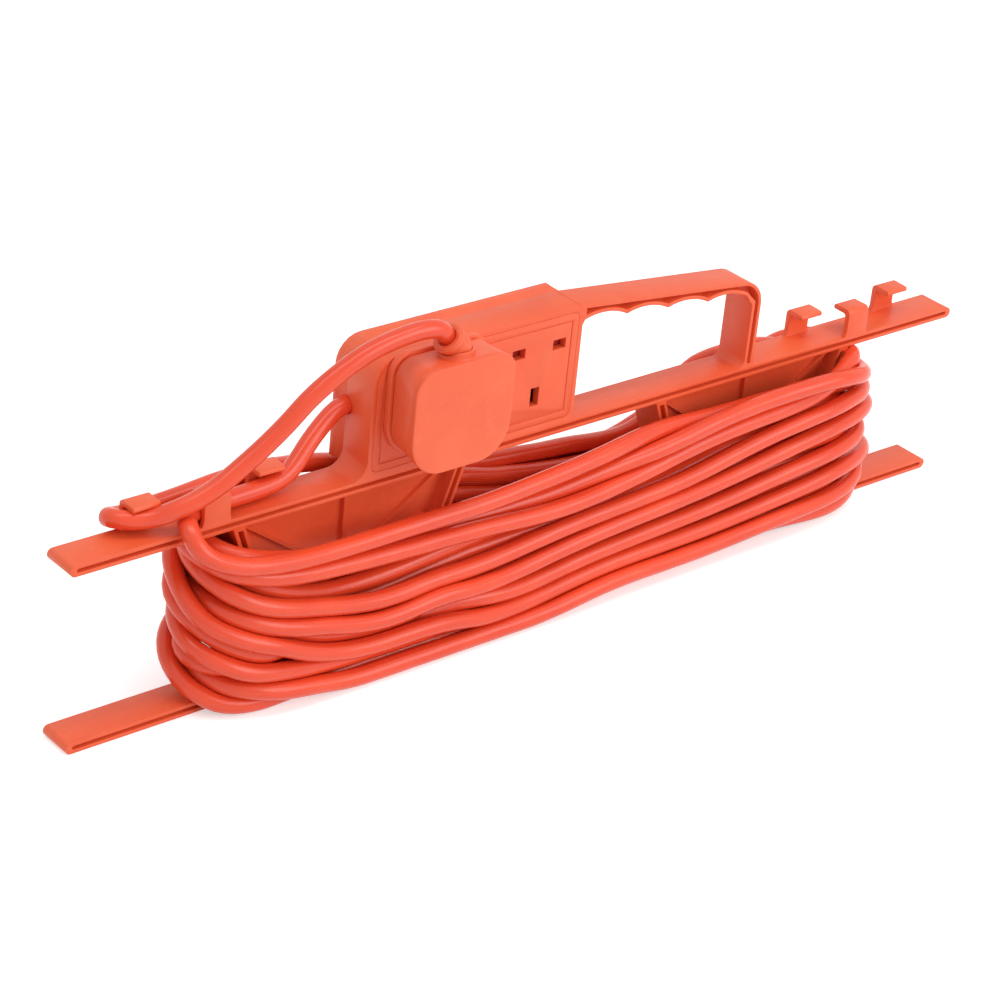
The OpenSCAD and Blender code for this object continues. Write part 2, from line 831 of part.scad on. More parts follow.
plug_left = gang_1_x - plug_width / 2;
plug_right = gang_1_x + plug_width / 2;
plug_low = earth_z - 9;
plug_high = plug_low + plug_height;
plug_mid_y = (plug_base_y + plug_front_y) / 2;
carrier_half = 18;
carrier_low = earth_z - 6.2;
carrier_high = row_z + 5.8;
carrier_depth = 5;
fuse_z = (row_z + earth_z) / 2 + 0.5;
fuse_y = plug_base_y - 4.5;
fuse_d = 6.3;
fuse_length = 25.4;
cap_length = 5.7;
lug_depth = 3.6;
guard_root = [gang_1_x + 2, plug_mid_y, plug_high];
guard_mouth = [gang_1_x - 3.7, plug_mid_y, plug_high + 6];
cord_start = guard_mouth;

// One slice of the plug's outline, drawn in by a distance
module plug_slice(y, inset, thickness = 0.02)
    for (corner = [
            [plug_left, plug_high, 1, -1, 10], [plug_right, plug_high, -1, -1, 10],
            [plug_left, plug_low, 1, 1, 17], [plug_right, plug_low, -1, 1, 16]])
        bar_yf(corner[0] + corner[2] * corner[4], corner[1] + corner[3] * corner[4],
            y - thickness, y, corner[4] - inset);

module bar_yf(x, z, y0, y1, r)
    translate([x, y0, z])
        rotate([-90, 0, 0])
            cylinder(r = r, h = y1 - y0, $fn = 32);

module plug_cavity() {
    bore = guard_d + 4 * fit;
    box([gang_1_x - carrier_half - fit, plug_base_y - carrier_depth - fit, carrier_low - fit],
        [gang_1_x + carrier_half + fit, plug_base_y + cut, carrier_high + fit]);
    box([gang_1_x - carrier_half + 2, pin_back_y - lug_depth - 1, carrier_low + 2],
        [gang_1_x + carrier_half - 2, plug_base_y, carrier_high - 2]);
    box([gang_1_x - 6, plug_mid_y - 4.5, carrier_high - 4],
        [gang_1_x + half_pitch + 3, plug_mid_y + 4.5, plug_high - 7.5]);
    rod([guard_root[0], plug_mid_y, plug_high - 8], guard_root, bore);
    translate(guard_root)
        sphere(d = bore);
    rod(guard_root, guard_mouth, bore);
    guard_band(fit);
}

module plug_body()
    color(shell_orange)
        difference() {
            union() {
                hull() {
                    plug_slice(plug_base_y, flange_inset + 0.4);
                    plug_slice(plug_base_y - 0.5, flange_inset);
                    plug_slice(plug_base_y - plug_flange + 0.5, flange_inset);
                    plug_slice(plug_base_y - plug_flange, flange_inset + 0.5);
                }
                hull() {
                    plug_slice(plug_base_y - plug_flange + 0.5, plug_waist);
                    plug_slice(plug_base_y - plug_flange - 4, plug_waist);
                }
                hull() {
                    plug_slice(plug_base_y - plug_flange - 4, plug_waist);
                    plug_slice(plug_front_y + plug_plate, 0);
                }
                hull() {
                    plug_slice(plug_front_y + plug_plate, 0);
                    plug_slice(plug_front_y + 1.4, 0);
                    plug_slice(plug_front_y + 0.4, 0.5);
                    plug_slice(plug_front_y + 0.02, 1.4);
                }
                // Neck that the guard is moulded into
                rod([guard_root[0], plug_mid_y, plug_high - 8], guard_root + [0, 0, 0.8], guard_d + 2.8);
            }
            plug_cavity();
        }

// Cuts the slots of the three pins through the carrier
module pin_slots() {
    y0 = plug_base_y - carrier_depth - cut;
    y1 = plug_base_y + cut;
    core_w = pin_width / 2 - sleeve_wall + fit;
    core_t = pin_thickness / 2 - sleeve_wall + fit;
    for (s = [-1, 1])
        box([gang_1_x + s * half_pitch - core_w, y0, row_z - core_t],
            [gang_1_x + s * half_pitch + core_w, y1, row_z + core_t]);
    box([gang_1_x - pin_thickness / 2 - fit, y0, earth_z - earth_width / 2 - fit],
        [gang_1_x + pin_thickness / 2 + fit, y1, earth_z + earth_width / 2 + fit]);
}

tray_half = fuse_length / 2 + 1.8;
tray_wall = 1;
tray_inner = fuse_d / 2 + 0.9;
tray_deep = 6;

module pin_carrier()
    color(black_plastic)
        difference() {
            plate_xz(plug_base_y - carrier_depth, plug_base_y)
                polygon(rounded(gang_1_x - carrier_half, gang_1_x + carrier_half,
                    carrier_low, carrier_high, [5, 5, 3, 3]));
            pin_slots();
            box([gang_1_x - tray_half - fit, plug_base_y - carrier_depth - cut,
                    fuse_z - tray_inner - tray_wall - fit],
                [gang_1_x + tray_half + fit, plug_base_y + cut,
                    fuse_z + tray_inner + tray_wall + fit]);
        }

// Line or neutral pin: thin where the sleeve sits, with a lug behind for its core
module live_pin(x, with_lug) {
    core_w = pin_width / 2 - sleeve_wall;
    core_t = pin_thickness / 2 - sleeve_wall;
    sleeve_end = plug_base_y + sleeve_length;
    tip = plug_base_y + pin_length;
    color(brass_yellow) {
        box([x - core_w, pin_back_y, row_z - core_t], [x + core_w, sleeve_end + 0.01, row_z + core_t]);
        plate_yz(x - pin_width / 2, x + pin_width / 2)
            polygon([
                [sleeve_end, row_z - pin_thickness / 2], [tip - 1.5, row_z - pin_thickness / 2],
                [tip, row_z - pin_thickness / 2 + 1], [tip, row_z + pin_thickness / 2 - 1],
                [tip - 1.5, row_z + pin_thickness / 2], [sleeve_end, row_z + pin_thickness / 2]]);
        if (with_lug)
            box([x - 2, pin_back_y - lug_depth, row_z - 1.4], [x + 2, pin_back_y + 0.01, row_z + 1.4]);
    }
}

module line_pin()
    live_pin(gang_1_x - half_pitch, false);

module neutral_pin()
    live_pin(gang_1_x + half_pitch, true);

module earth_pin() {
    half_w = earth_width / 2;
    tip = plug_base_y + earth_length;
    color(brass_yellow) {
        plate_yz(gang_1_x - pin_thickness / 2, gang_1_x + pin_thickness / 2)
            polygon([
                [pin_back_y, earth_z - half_w], [tip - 2.2, earth_z - half_w],
                [tip, earth_z - half_w + 1.6], [tip, earth_z + half_w - 1.6],
                [tip - 2.2, earth_z + half_w], [pin_back_y, earth_z + half_w]]);
        box([gang_1_x - 1.9, pin_back_y - lug_depth, earth_z - 1.4],
            [gang_1_x + 1.9, pin_back_y + 0.01, earth_z + 1.4]);
    }
}

module sleeve(x)
    color(black_plastic)
        difference() {
            box([x - pin_width / 2, plug_base_y, row_z - pin_thickness / 2],
                [x + pin_width / 2, plug_base_y + sleeve_length, row_z + pin_thickness / 2]);
            box([x - pin_width / 2 + sleeve_wall, plug_base_y - cut,
                    row_z - pin_thickness / 2 + sleeve_wall],
                [x + pin_width / 2 - sleeve_wall, plug_base_y + sleeve_length + cut,
                    row_z + pin_thickness / 2 - sleeve_wall]);
        }

module fuse_carrier()
    color([0.75, 0.12, 0.10])
        difference() {
            box([gang_1_x - tray_half, plug_base_y - tray_deep, fuse_z - tray_inner - tray_wall],
                [gang_1_x + tray_half, plug_base_y, fuse_z + tray_inner + tray_wall]);
            box([gang_1_x - tray_half + tray_wall, plug_base_y - tray_deep - cut, fuse_z - tray_inner],
                [gang_1_x + tray_half - tray_wall, fuse_y + fuse_d / 2 + 0.1, fuse_z + tray_inner]);
            // Nick for a screwdriver
            box([gang_1_x - 2.5, plug_base_y - 0.5, fuse_z + tray_inner - 0.6],
                [gang_1_x + 2.5, plug_base_y + cut, fuse_z + tray_inner + 0.4]);
        }

module fuse_barrel()
    color([0.90, 0.88, 0.82])
        bar_x(fuse_y, fuse_z, gang_1_x - fuse_length / 2 + cap_length,
            gang_1_x + fuse_length / 2 - cap_length, fuse_d - 0.3);

module fuse_caps()
    color(steel_grey)
        for (s = [0, 1])
            translate([gang_1_x, 0, 0])
                mirror([s, 0, 0])
                    bar_x(fuse_y, fuse_z, fuse_length / 2 - cap_length, fuse_length / 2, fuse_d);

module fuse_clips() {
    leaf = 0.6;
    half = fuse_d / 2 + fit;
    back = fuse_y - half - leaf;
    color(brass_yellow) {
        for (s = [-1, 1]) {
            x = gang_1_x + s * (fuse_length / 2 - cap_length / 2);
            box([x - 2, back, fuse_z - half - leaf], [x + 2, back + leaf, fuse_z + half + leaf]);
            for (t = [-1, 1])
                box([x - 2, back, fuse_z + (t > 0 ? half : -half - leaf)],
                    [x + 2, fuse_y + 1.6, fuse_z + (t > 0 ? half + leaf : -half)]);
        }
        // Tab to the line pin
        box([gang_1_x - half_pitch - 2, back, fuse_z + half],
            [gang_1_x - half_pitch + 2, pin_back_y - fit, row_z + 1.4]);
        // Lug for the live core
        box([gang_1_x + half_pitch - 3.5, pin_back_y - lug_depth, fuse_z + half],
            [gang_1_x + half_pitch - 0.5, back + leaf, fuse_z + half + 2.2]);
    }
}

// Raised band at the guard's mouth
module guard_band(grow)
    rod(guard_mouth - 0.3 * (guard_mouth - guard_root),
        guard_mouth - 0.08 * (guard_mouth - guard_root), guard_d + 1.4 + 2 * grow);

// Short angled collar with the cord's bore through it
module cord_guard() {
    low = [guard_root[0], plug_mid_y, plug_high - 7.4];
    color(shell_orange)
        difference() {
            union() {
                rod(low, guard_root, guard_d);
                translate(guard_root)
                    sphere(d = guard_d);
                rod(guard_root, guard_mouth, guard_d);
                guard_band(0);
            }
            rod(low - [0, 0, cut], guard_root, cord_d + 2 * fit);
            translate(guard_root)
                sphere(d = cord_d + 2 * fit);
            rod(guard_root, guard_mouth + 0.3 * (guard_mouth - guard_root), cord_d + 2 * fit);
        }
}

module plug_cord_end()
    color(cord_orange) {
        rod([guard_root[0], plug_mid_y, plug_high - 9], guard_root, cord_d);
        translate(guard_root)
            sphere(d = cord_d);
        rod(guard_root, guard_mouth, cord_d);
    }

// Cores of the plug, from the cut sheath to their lugs
plug_core_top = plug_high - 9.9;
lug_y = pin_back_y - lug_depth / 2;

module plug_live_core()
    color([0.45, 0.25, 0.14])
        rod([guard_root[0], plug_mid_y, plug_core_top],
            [gang_1_x + half_pitch - 2.6, lug_y, fuse_z + fuse_d / 2 + 2.9], core_d);

module plug_neutral_core()
    color([0.16, 0.36, 0.72])
        rod([guard_root[0] + 2.8, plug_mid_y, plug_core_top],
            [gang_1_x + half_pitch + 0.4, lug_y, row_z + 2.4], core_d);

module plug_earth_core()
    color([0.42, 0.66, 0.22])
        rod([guard_root[0] - 2.6, plug_mid_y, plug_core_top],
            [gang_1_x, lug_y, earth_z + 1.8], core_d);

// ---------------------------------------------------------------- cord

ring_count = 24;
pitch = cord_d + turn_gap;
layer_step = cord_d + turn_gap + 0.5;
wind_y = half_depth + cord_d / 2 + wind_gap;
wind_low = bar_height + cord_d / 2 + wind_gap + pitch / 8;
arc_rings = 8;
run_rings = 4;
end_squareness = 0.71;

// Height of the winding after a number of turns; it reverses within half a turn
function wind_height(t) =
    let (s = t - outer_turns)
    s < 0 ? wind_low - pitch * s
    : s < 0.5 ? wind_low - pitch * s + 2 * pitch * s * s
    : wind_low + pitch * (s - 0.5);

// Layer after a number of turns: 1 is the outer one, 0 the inner one
function wind_layer(t) = min(1, max(0, 1 - 2 * (t - outer_turns)));

// Brings a sine or a cosine nearer to 1, so that the ends of a loop are squarer than an ellipse
function squared(value) = sign(value) * pow(abs(value), end_squareness);

// Place of one ring of the winding, counted from its start at the front left
function wind_point(i) =
    let (
        t = i / ring_count,
        k = i % ring_count,
        slack = (1 + cos(30 * (k - 2))) / 2,
        out = wind_layer(t) * layer_step,
        reach_y = wind_y + out + wind_belly * slack,
        reach_x = wind_bulge + out,
        run = wind_right - wind_left,
        angle = k < 12 ? -90 + 180 * (k - run_rings) / arc_rings : 90 + 180 * (k - 16) / arc_rings,
        ahead = reach_x * squared(cos(angle)),
        aside = reach_y * squared(sin(angle)),
        place = k < 4 ? [wind_left + run * k / run_rings, -reach_y]
            : k < 12 ? [wind_right + ahead, aside]
            : k < 16 ? [wind_right - run * (k - 12) / run_rings, reach_y]
            : [wind_left + ahead, aside]
    )
    [place[0], place[1], wind_height(t) - wind_sag * slack];

wind_rings = (outer_turns + inner_turns) * ring_count + ring_count / 2 + 1;
wind_path = [for (i = [0:wind_rings - 1]) wind_point(i)];
wind_start = wind_path[0];
wind_start_way = unit(wind_path[1] - wind_path[0]);
wind_end = wind_path[wind_rings - 1];
wind_end_way = unit(wind_end - wind_path[wind_rings - 2]);

// Lead from the socket box over the bar, past two hooks and down to the winding's start
socket_route = concat(
    [
        [sheath_end, entry[1], entry[2]], [box_left - 1, entry[1], entry[2]],
        [-109, 8.2, 111.9], [-116.5, 7, 107.2], [-123, 5.4, 102.6],
        [-129, 3.8, 97.4], [-135, 2.3, 93.2], [-142, 1.2, 91.2], [-151, 0.4, 90.6],
        [-163, 0, 90.5], [-175, -0.4, 90.4], [-184.5, -1.6, 90.4], [-189.2, -4.7, 90.4],
        [-192.4, -9.2, 90.3], [-194.4, -12.6, 88.3], [-195, -15, 84.8], [-194, -18, 79.8],
        [-190, -21, 74.4], [-183, -23.2, 70.8]
    ],
    [wind_start - 11 * wind_start_way, wind_start]);

// Lead from the winding's end along the back, round the outer hook and up to the plug
plug_route = concat(
    [wind_end, wind_end + 11 * wind_end_way],
    [
        [138, 15.6, 78.4], [120, 15.2, 79.6], [102, 15, 79.8], [80, 15, 79.6], [58, 15.2, 78.4],
        [36, 15.4, 76.8], [14, 15.6, 76.4], [-8, 16, 76.6], [-30, 16.6, 77], [-52, 17.6, 77.8],
        [-74, 19.4, 79.4], [-94, 21.2, 81.8], [-110, 20.8, 84.2], [-126, 18.6, 86.2],
        [-142, 16.4, 88.6], [-160, 14.4, 90.6], [-178, 13.7, 91.2], [-196, 13.4, 91.2],
        [-209, 13.4, 91.1], [-215.6, 12.2, 91], [-219, 7.4, 91], [-215.6, 2.4, 91],
        [-208, 0.9, 91], [-200.5, 0.9, 91.4], [-196.3, 0.6, 93.2], [-193, -1.6, 97.5],
        [-189.2, -5, 100.6], [-182.4, -9, 105], [-174, -11.2, 110], [-165, -12.7, 116.2],
        [-153.3, -14, 125.2], [-140.2, -15.2, 135.4], [-127, -16.2, 144.2], [-113.4, -17.2, 150.6],
        [-99.5, -18.2, 154], [-88, -18.9, 155]
    ],
    [cord_start + 6 * unit(guard_mouth - guard_root), cord_start]);

function tangents(path) = [for (i = [0:len(path) - 1])
    i == 0 ? unit(path[1] - path[0])
    : i == len(path) - 1 ? unit(path[i] - path[i - 1])
    : unit(unit(path[i + 1] - path[i]) + unit(path[i] - path[i - 1]))];

// Normals carried along the path without twist
function carried(ways, i, normal) =
    i == len(ways) ? []
    : let (n = unit(normal - (normal * ways[i]) * ways[i]))
        concat([n], carried(ways, i + 1, n));

// Tube of triangles swept along a path
module tube(path, diameter, sides) {
    ways = tangents(path);
    normals = carried(ways, 0, [0.02, 0.03, 1]);
    count = len(path);
    points = [for (i = [0:count - 1]) let (n = normals[i], b = cross(ways[i], n))
        for (j = [0:sides - 1]) let (a = 360 * j / sides)
            path[i] + diameter / 2 * (cos(a) * n + sin(a) * b)];
    walls = [for (i = [0:count - 2]) for (j = [0:sides - 1])
        let (a = i * sides + j, b = i * sides + (j + 1) % sides, c = a + sides, d = b + sides)
        each [[a, c, b], [b, c, d]]];
    caps = [
        for (j = [1:sides - 2]) [0, j, j + 1],
        for (j = [1:sides - 2]) let (o = (count - 1) * sides) [o, o + j + 1, o + j]];
    polyhedron(points = points, faces = concat(walls, caps), convexity = 10);
}

lead_sides = 8;
wind_sides = 6;

module socket_lead()
    color(cord_orange)
        tube(socket_route, cord_d, lead_sides);

module plug_lead()
    color(cord_orange)
        tube(plug_route, cord_d, lead_sides);

module cord_winding()
    color(cord_orange)
        tube(wind_path, cord_d, wind_sides);

function route_length(path) =
    let (steps = [for (i = [1:len(path) - 1]) norm(path[i] - path[i - 1])])
    steps * [for (s = steps) 1];

// Least distance between turns, over rings that are half a turn or more apart
least_gap = min([for (i = [0:wind_rings - 13]) for (j = [i + 12:wind_rings - 1])
    norm(wind_path[i] - wind_path[j])]) - cord_d;

echo(least_gap_in_winding = least_gap);
echo(lowest_ring = min([for (p = wind_path) p[2]]), highest_ring = max([for (p = wind_path) p[2]]));
echo(cord_length = route_length(socket_route) + route_length(wind_path) + route_length(plug_route));

// ---------------------------------------------------------------- parts

carrier_frame();
socket_front();
socket_back();
cover_screws();
shutter(gang_1_x, shutter_travel);  // shutter_1
shutter(gang_2_x, 0);  // shutter_2
shutter_spring(gang_1_x, shutter_travel);  // shutter_spring_1
shutter_spring(gang_2_x, 0);  // shutter_spring_2
line_strip();
neutral_strip();
earth_strip();
terminal_screws();
cord_grip();
cord_grip_screws();
live_core();
neutral_core();
earth_core();
socket_lead();
cord_winding();
plug_lead();
plug_body();
pin_carrier();
line_pin();
neutral_pin();
earth_pin();
sleeve(gang_1_x - half_pitch);  // line_sleeve
sleeve(gang_1_x + half_pitch);  // neutral_sleeve
fuse_carrier();
fuse_barrel();
fuse_caps();
fuse_clips();
cord_guard();
plug_cord_end();
plug_live_core();
plug_neutral_core();
plug_earth_core();
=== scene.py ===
"""Looks of the two-gang extension lead on its flat cord carrier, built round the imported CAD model.

Sizes named in millimetres are turned to metres where a mesh is made. X runs along the bars, Y from front to
back and Z up, as in the CAD model.
"""

import math

import bmesh
import bpy
import numpy as np
from mathutils import Matrix, Vector


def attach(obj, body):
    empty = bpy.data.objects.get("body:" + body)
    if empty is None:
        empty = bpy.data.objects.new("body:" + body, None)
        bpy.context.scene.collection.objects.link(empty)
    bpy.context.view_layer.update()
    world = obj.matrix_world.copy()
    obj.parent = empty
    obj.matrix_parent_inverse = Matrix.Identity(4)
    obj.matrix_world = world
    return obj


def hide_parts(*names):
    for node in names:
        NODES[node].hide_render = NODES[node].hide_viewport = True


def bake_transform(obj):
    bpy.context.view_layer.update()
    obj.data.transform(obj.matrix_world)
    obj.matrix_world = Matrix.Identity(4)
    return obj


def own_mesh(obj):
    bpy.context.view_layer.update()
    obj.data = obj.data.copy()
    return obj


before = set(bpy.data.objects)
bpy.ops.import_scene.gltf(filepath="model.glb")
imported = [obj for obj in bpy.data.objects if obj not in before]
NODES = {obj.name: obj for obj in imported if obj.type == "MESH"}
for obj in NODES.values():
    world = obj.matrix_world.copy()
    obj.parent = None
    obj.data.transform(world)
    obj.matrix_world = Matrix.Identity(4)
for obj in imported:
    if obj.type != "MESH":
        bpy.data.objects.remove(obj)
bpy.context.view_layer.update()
MM = 0.001


# ---------------------------------------------------------------- camera

def add_camera():
    azimuth, elevation, roll = (math.radians(a) for a in (-41.97, 28.26, 5.79))
    target = Vector((-21.14, 0.0, 50.21)) * MM
    distance = 1351.2 * MM
    sensor_mm, focal_ratio = 36, 3.1296
    back = Vector((math.sin(azimuth) * math.cos(elevation), -math.cos(azimuth) * math.cos(elevation),
                   math.sin(elevation)))
    level = Vector((math.cos(azimuth), math.sin(azimuth), 0))
    up = back.cross(level)
    right = math.cos(roll) * level + math.sin(roll) * up
    above = math.cos(roll) * up - math.sin(roll) * level
    camera = bpy.data.objects.new("camera", bpy.data.cameras.new("camera"))
    camera.data.sensor_width = sensor_mm
    camera.data.lens = focal_ratio * sensor_mm
    camera.data.clip_start = 0.05
    camera.matrix_world = Matrix((right, above, back)).transposed().to_4x4()
    camera.location = target + back * distance
    bpy.context.scene.collection.objects.link(camera)
    bpy.context.scene.camera = camera


add_camera()


# ---------------------------------------------------------------- materials

def linear(code):
    """An sRGB hex colour as linear RGBA."""
    channels = [int(code[i:i + 2], 16) / 255 for i in (1, 3, 5)]
    return (*(c / 12.92 if c <= 0.04045 else ((c + 0.055) / 1.055) ** 2.4 for c in channels), 1)


def add(tree, kind, links=None, **settings):
    """Adds a node with its settings. Each entry of links gives an input a value or joins it to a socket."""
    node = tree.nodes.new(kind)
    for name, value in settings.items():
        setattr(node, name, value)
    for name, value in (links or {}).items():
        if isinstance(value, bpy.types.NodeSocket):
            tree.links.new(value, node.inputs[name])
        else:
            node.inputs[name].default_value = value
    return node


def new_material(name):
    """A new material, its node tree and its shader."""
    material = bpy.data.materials.new(name)
    material.use_nodes = True
    tree = material.node_tree
    shader = tree.nodes["Principled BSDF"]
    return material, tree, shader


def clouded(tree, place, low, high, one, other, **noise):
    """Two colours that take turns in soft clouds."""
    cloud = add(tree, "ShaderNodeTexNoise", {"Vector": place, **noise})
    share = add(tree, "ShaderNodeMapRange", {"Value": cloud.outputs["Fac"], "From Min": low, "From Max": high})
    return add(tree, "ShaderNodeMix", {"Factor": share.outputs["Result"], "A": linear(one),
                                       "B": linear(other)}, data_type="RGBA").outputs["Result"]


def vary_gloss(tree, shader, pattern, smoothest, roughest):
    """Lets the surface's roughness follow a pattern."""
    gloss = add(tree, "ShaderNodeMapRange", {"Value": pattern, "From Min": 0.3, "From Max": 0.7,
                                             "To Min": smoothest, "To Max": roughest})
    tree.links.new(gloss.outputs["Result"], shader.inputs["Roughness"])


def add_relief(tree, shader, *layers):
    """Raises the surface by patterns, one on another, each with its height in millimetres."""
    below = {}
    for pattern, height_mm in layers:
        bump = add(tree, "ShaderNodeBump", {"Height": pattern, "Strength": 1.0, "Distance": height_mm * MM,
                                            **below})
        below = {"Normal": bump.outputs["Normal"]}
    tree.links.new(below["Normal"], shader.inputs["Normal"])


def moulded(name, colour, dark, pale, roughness):
    """Injection-moulded plastic: cloudy flow marks, a fine spark-eroded grain, faint rubs and a varied gloss.

    The mould's grain is finer than 0.1 mm. It is drawn as coarse as it has to be to show.
    """
    flow_mm, speck_mm, rub_mm, wave_mm, grain_mm = 34, 2.2, 16, 9, 0.35
    material, tree, shader = new_material(name)
    place = add(tree, "ShaderNodeTexCoord").outputs["Object"]
    tint = clouded(tree, place, 0.3, 0.7, dark, colour,
                   Scale=1 / (flow_mm * MM), Detail=3.0, Roughness=0.55, Distortion=0.6)
    specks = add(tree, "ShaderNodeTexNoise", {"Vector": place, "Scale": 1 / (speck_mm * MM), "Detail": 2.0})
    dust = add(tree, "ShaderNodeMapRange", {"Value": specks.outputs["Fac"], "From Min": 0.58, "From Max": 0.8,
                                            "To Max": 0.18})
    surface = add(tree, "ShaderNodeMix", {"Factor": dust.outputs["Result"], "A": tint, "B": linear(pale)},
                  data_type="RGBA")
    tree.links.new(surface.outputs["Result"], shader.inputs["Base Color"])
    # Long faint rubs from handling change the gloss, not the colour
    turned = add(tree, "ShaderNodeMapping", {"Vector": place, "Scale": (1, 5, 9)})
    rubs = add(tree, "ShaderNodeTexNoise", {"Vector": turned.outputs["Vector"], "Scale": 1 / (rub_mm * MM),
                                            "Detail": 5.0, "Roughness": 0.65})
    vary_gloss(tree, shader, rubs.outputs["Fac"], roughness - 0.05, roughness + 0.05)
    grain = add(tree, "ShaderNodeTexNoise", {"Vector": place, "Scale": 1 / (grain_mm * MM), "Detail": 2.0})
    waves = add(tree, "ShaderNodeTexNoise", {"Vector": place, "Scale": 1 / (wave_mm * MM), "Detail": 1.0})
    add_relief(tree, shader, (waves.outputs["Fac"], 0.06), (grain.outputs["Fac"], 0.012))
    shader.inputs["IOR"].default_value = 1.46
    return material


def metal(name, colour, dull, roughness, scratch_mm):
    """Bare metal with drawn or stamped scratches and a thin uneven tarnish."""
    tarnish_mm = 6
    material, tree, shader = new_material(name)
    place = add(tree, "ShaderNodeTexCoord").outputs["Object"]
    drawn = add(tree, "ShaderNodeMapping", {"Vector": place, "Scale": (0.15, 1, 1)})
    scratches = add(tree, "ShaderNodeTexNoise", {"Vector": drawn.outputs["Vector"],
                                                 "Scale": 1 / (scratch_mm * MM), "Detail": 6.0})
    tint = clouded(tree, place, 0.4, 0.7, colour, dull, Scale=1 / (tarnish_mm * MM), Detail=4.0)
    tree.links.new(tint, shader.inputs["Base Color"])
    shader.inputs["Metallic"].default_value = 1.0
    vary_gloss(tree, shader, scratches.outputs["Fac"], roughness - 0.08, roughness + 0.1)
    add_relief(tree, shader, (scratches.outputs["Fac"], 0.01))
    return material


def extruded_sheath(name, colour, dark):
    """Soft PVC drawn over twisted cores: draw lines along it, a fine orange peel and a wet gloss."""
    cloud_mm, draw_line_mm, peel_mm = 28, 22, 1.6
    material, tree, shader = new_material(name)
    along = add(tree, "ShaderNodeUVMap", uv_map="along")
    place = add(tree, "ShaderNodeTexCoord").outputs["Object"]
    tint = clouded(tree, place, 0.35, 0.7, dark, colour, Scale=1 / (cloud_mm * MM), Detail=3.0)
    tree.links.new(tint, shader.inputs["Base Color"])
    # The UV map is in metres along the sheath and round it
    lines = add(tree, "ShaderNodeMapping", {"Vector": along.outputs["UV"], "Scale": (1, 24, 1)})
    drawn = add(tree, "ShaderNodeTexNoise", {"Vector": lines.outputs["Vector"],
                                             "Scale": 1 / (draw_line_mm * MM), "Detail": 4.0})
    vary_gloss(tree, shader, drawn.outputs["Fac"], 0.2, 0.31)
    peel = add(tree, "ShaderNodeTexNoise", {"Vector": place, "Scale": 1 / (peel_mm * MM), "Detail": 2.0})
    add_relief(tree, shader, (drawn.outputs["Fac"], 0.03), (peel.outputs["Fac"], 0.012))
    shader.inputs["IOR"].default_value = 1.48
    return material


# Polypropylene from a finely grained mould: a soft, slightly waxy sheen and faint clouds
carrier_plastic = moulded("moulded_polypropylene_orange", "#ea6239", "#e45831", "#ef8260", 0.44)
# Stiff PVC from a smoother mould: a tone yellower than the cord and a little glossier than the carrier
plug_plastic = moulded("moulded_pvc_plug_orange", "#eb653c", "#e65c36", "#f08564", 0.4)
# Soft PVC, extruded: the deepest orange, with long bright highlights along each strand
sheath = extruded_sheath("extruded_pvc_sheath_orange", "#ea4f2c", "#e14626")
# Nylon, moulded: half matt, milky where it is white and dense where it is coloured
white_nylon = moulded("moulded_nylon_white", "#ece9df", "#e2dfd3", "#f4f2ea", 0.42)
red_nylon = moulded("moulded_nylon_red", "#a8261c", "#982018", "#b83a2c", 0.4)
black_nylon = moulded("moulded_nylon_black", "#1a1a1c", "#141416", "#2a2a2c", 0.4)
# Glazed steatite: a cream body under a clear gloss
fuse_ceramic = moulded("glazed_ceramic_fuse", "#e6e1d3", "#ddd7c6", "#f0ece0", 0.3)
# PVC core insulation: plain even colours with a dull sheen
brown_core = moulded("core_insulation_brown", "#6b4024", "#5f371e", "#7c5030", 0.4)
blue_core = moulded("core_insulation_blue", "#2a5fb8", "#2454a6", "#3a70c6", 0.4)
green_core = moulded("core_insulation_green_yellow", "#6aa537", "#5d9530", "#86bb52", 0.4)
# Brass, stamped from rolled strip: warm yellow, with fine scratches one way and darker tarnish
drawn_brass = metal("stamped_brass", "#d8b25a", "#b28c42", 0.3, 0.3)
# Steel with a bright zinc plating: a cool grey mirror, blurred by its fine grain
bright_steel = metal("zinc_plated_steel", "#c9c9c6", "#a9aaa8", 0.34, 0.25)

# Each node's material and the record's slot for it
FINISHES = {node: (material, slot) for material, slot, nodes in (
    (carrier_plastic, "moulded_orange", ("carrier_frame", "socket_front", "socket_back")),
    (plug_plastic, "moulded_orange", ("plug_body", "cord_guard")),
    (sheath, "cord_orange", ("plug_cord_end",)),
    (white_nylon, "white_plastic", ("cord_grip",)),
    (red_nylon, "red_plastic", ("shutter_1", "shutter_2", "fuse_carrier")),
    (black_nylon, "black_plastic", ("pin_carrier", "line_sleeve", "neutral_sleeve")),
    (fuse_ceramic, "ceramic", ("fuse_barrel",)),
    (brown_core, "core_brown", ("live_core", "plug_live_core")),
    (blue_core, "core_blue", ("neutral_core", "plug_neutral_core")),
    (green_core, "core_green", ("earth_core", "plug_earth_core")),
    (drawn_brass, "brass", ("line_strip", "neutral_strip", "earth_strip", "terminal_screws", "line_pin",
                            "neutral_pin", "earth_pin", "fuse_clips")),
    (bright_steel, "steel", ("cover_screws", "shutter_spring_1", "shutter_spring_2", "cord_grip_screws",
                             "fuse_caps")),
) for node in nodes}


def dress(mesh, material):
    """Gives a mesh one material."""
    mesh.materials.clear()
    mesh.materials.append(material)


for node, (material, _) in FINISHES.items():
    dress(NODES[node].data, material)


def as_object(mesh, name):
    """Puts a mesh in the scene under a name."""
    piece = bpy.data.objects.new(name, mesh)
    bpy.context.scene.collection.objects.link(piece)
    return piece


def settle(piece):
    """Turns a piece with its modifiers into a plain mesh."""
    bpy.context.view_layer.update()
    evaluated = piece.evaluated_get(bpy.context.evaluated_depsgraph_get())
    mesh = bpy.data.meshes.new_from_object(evaluated)
    piece.modifiers.clear()
    piece.data = mesh


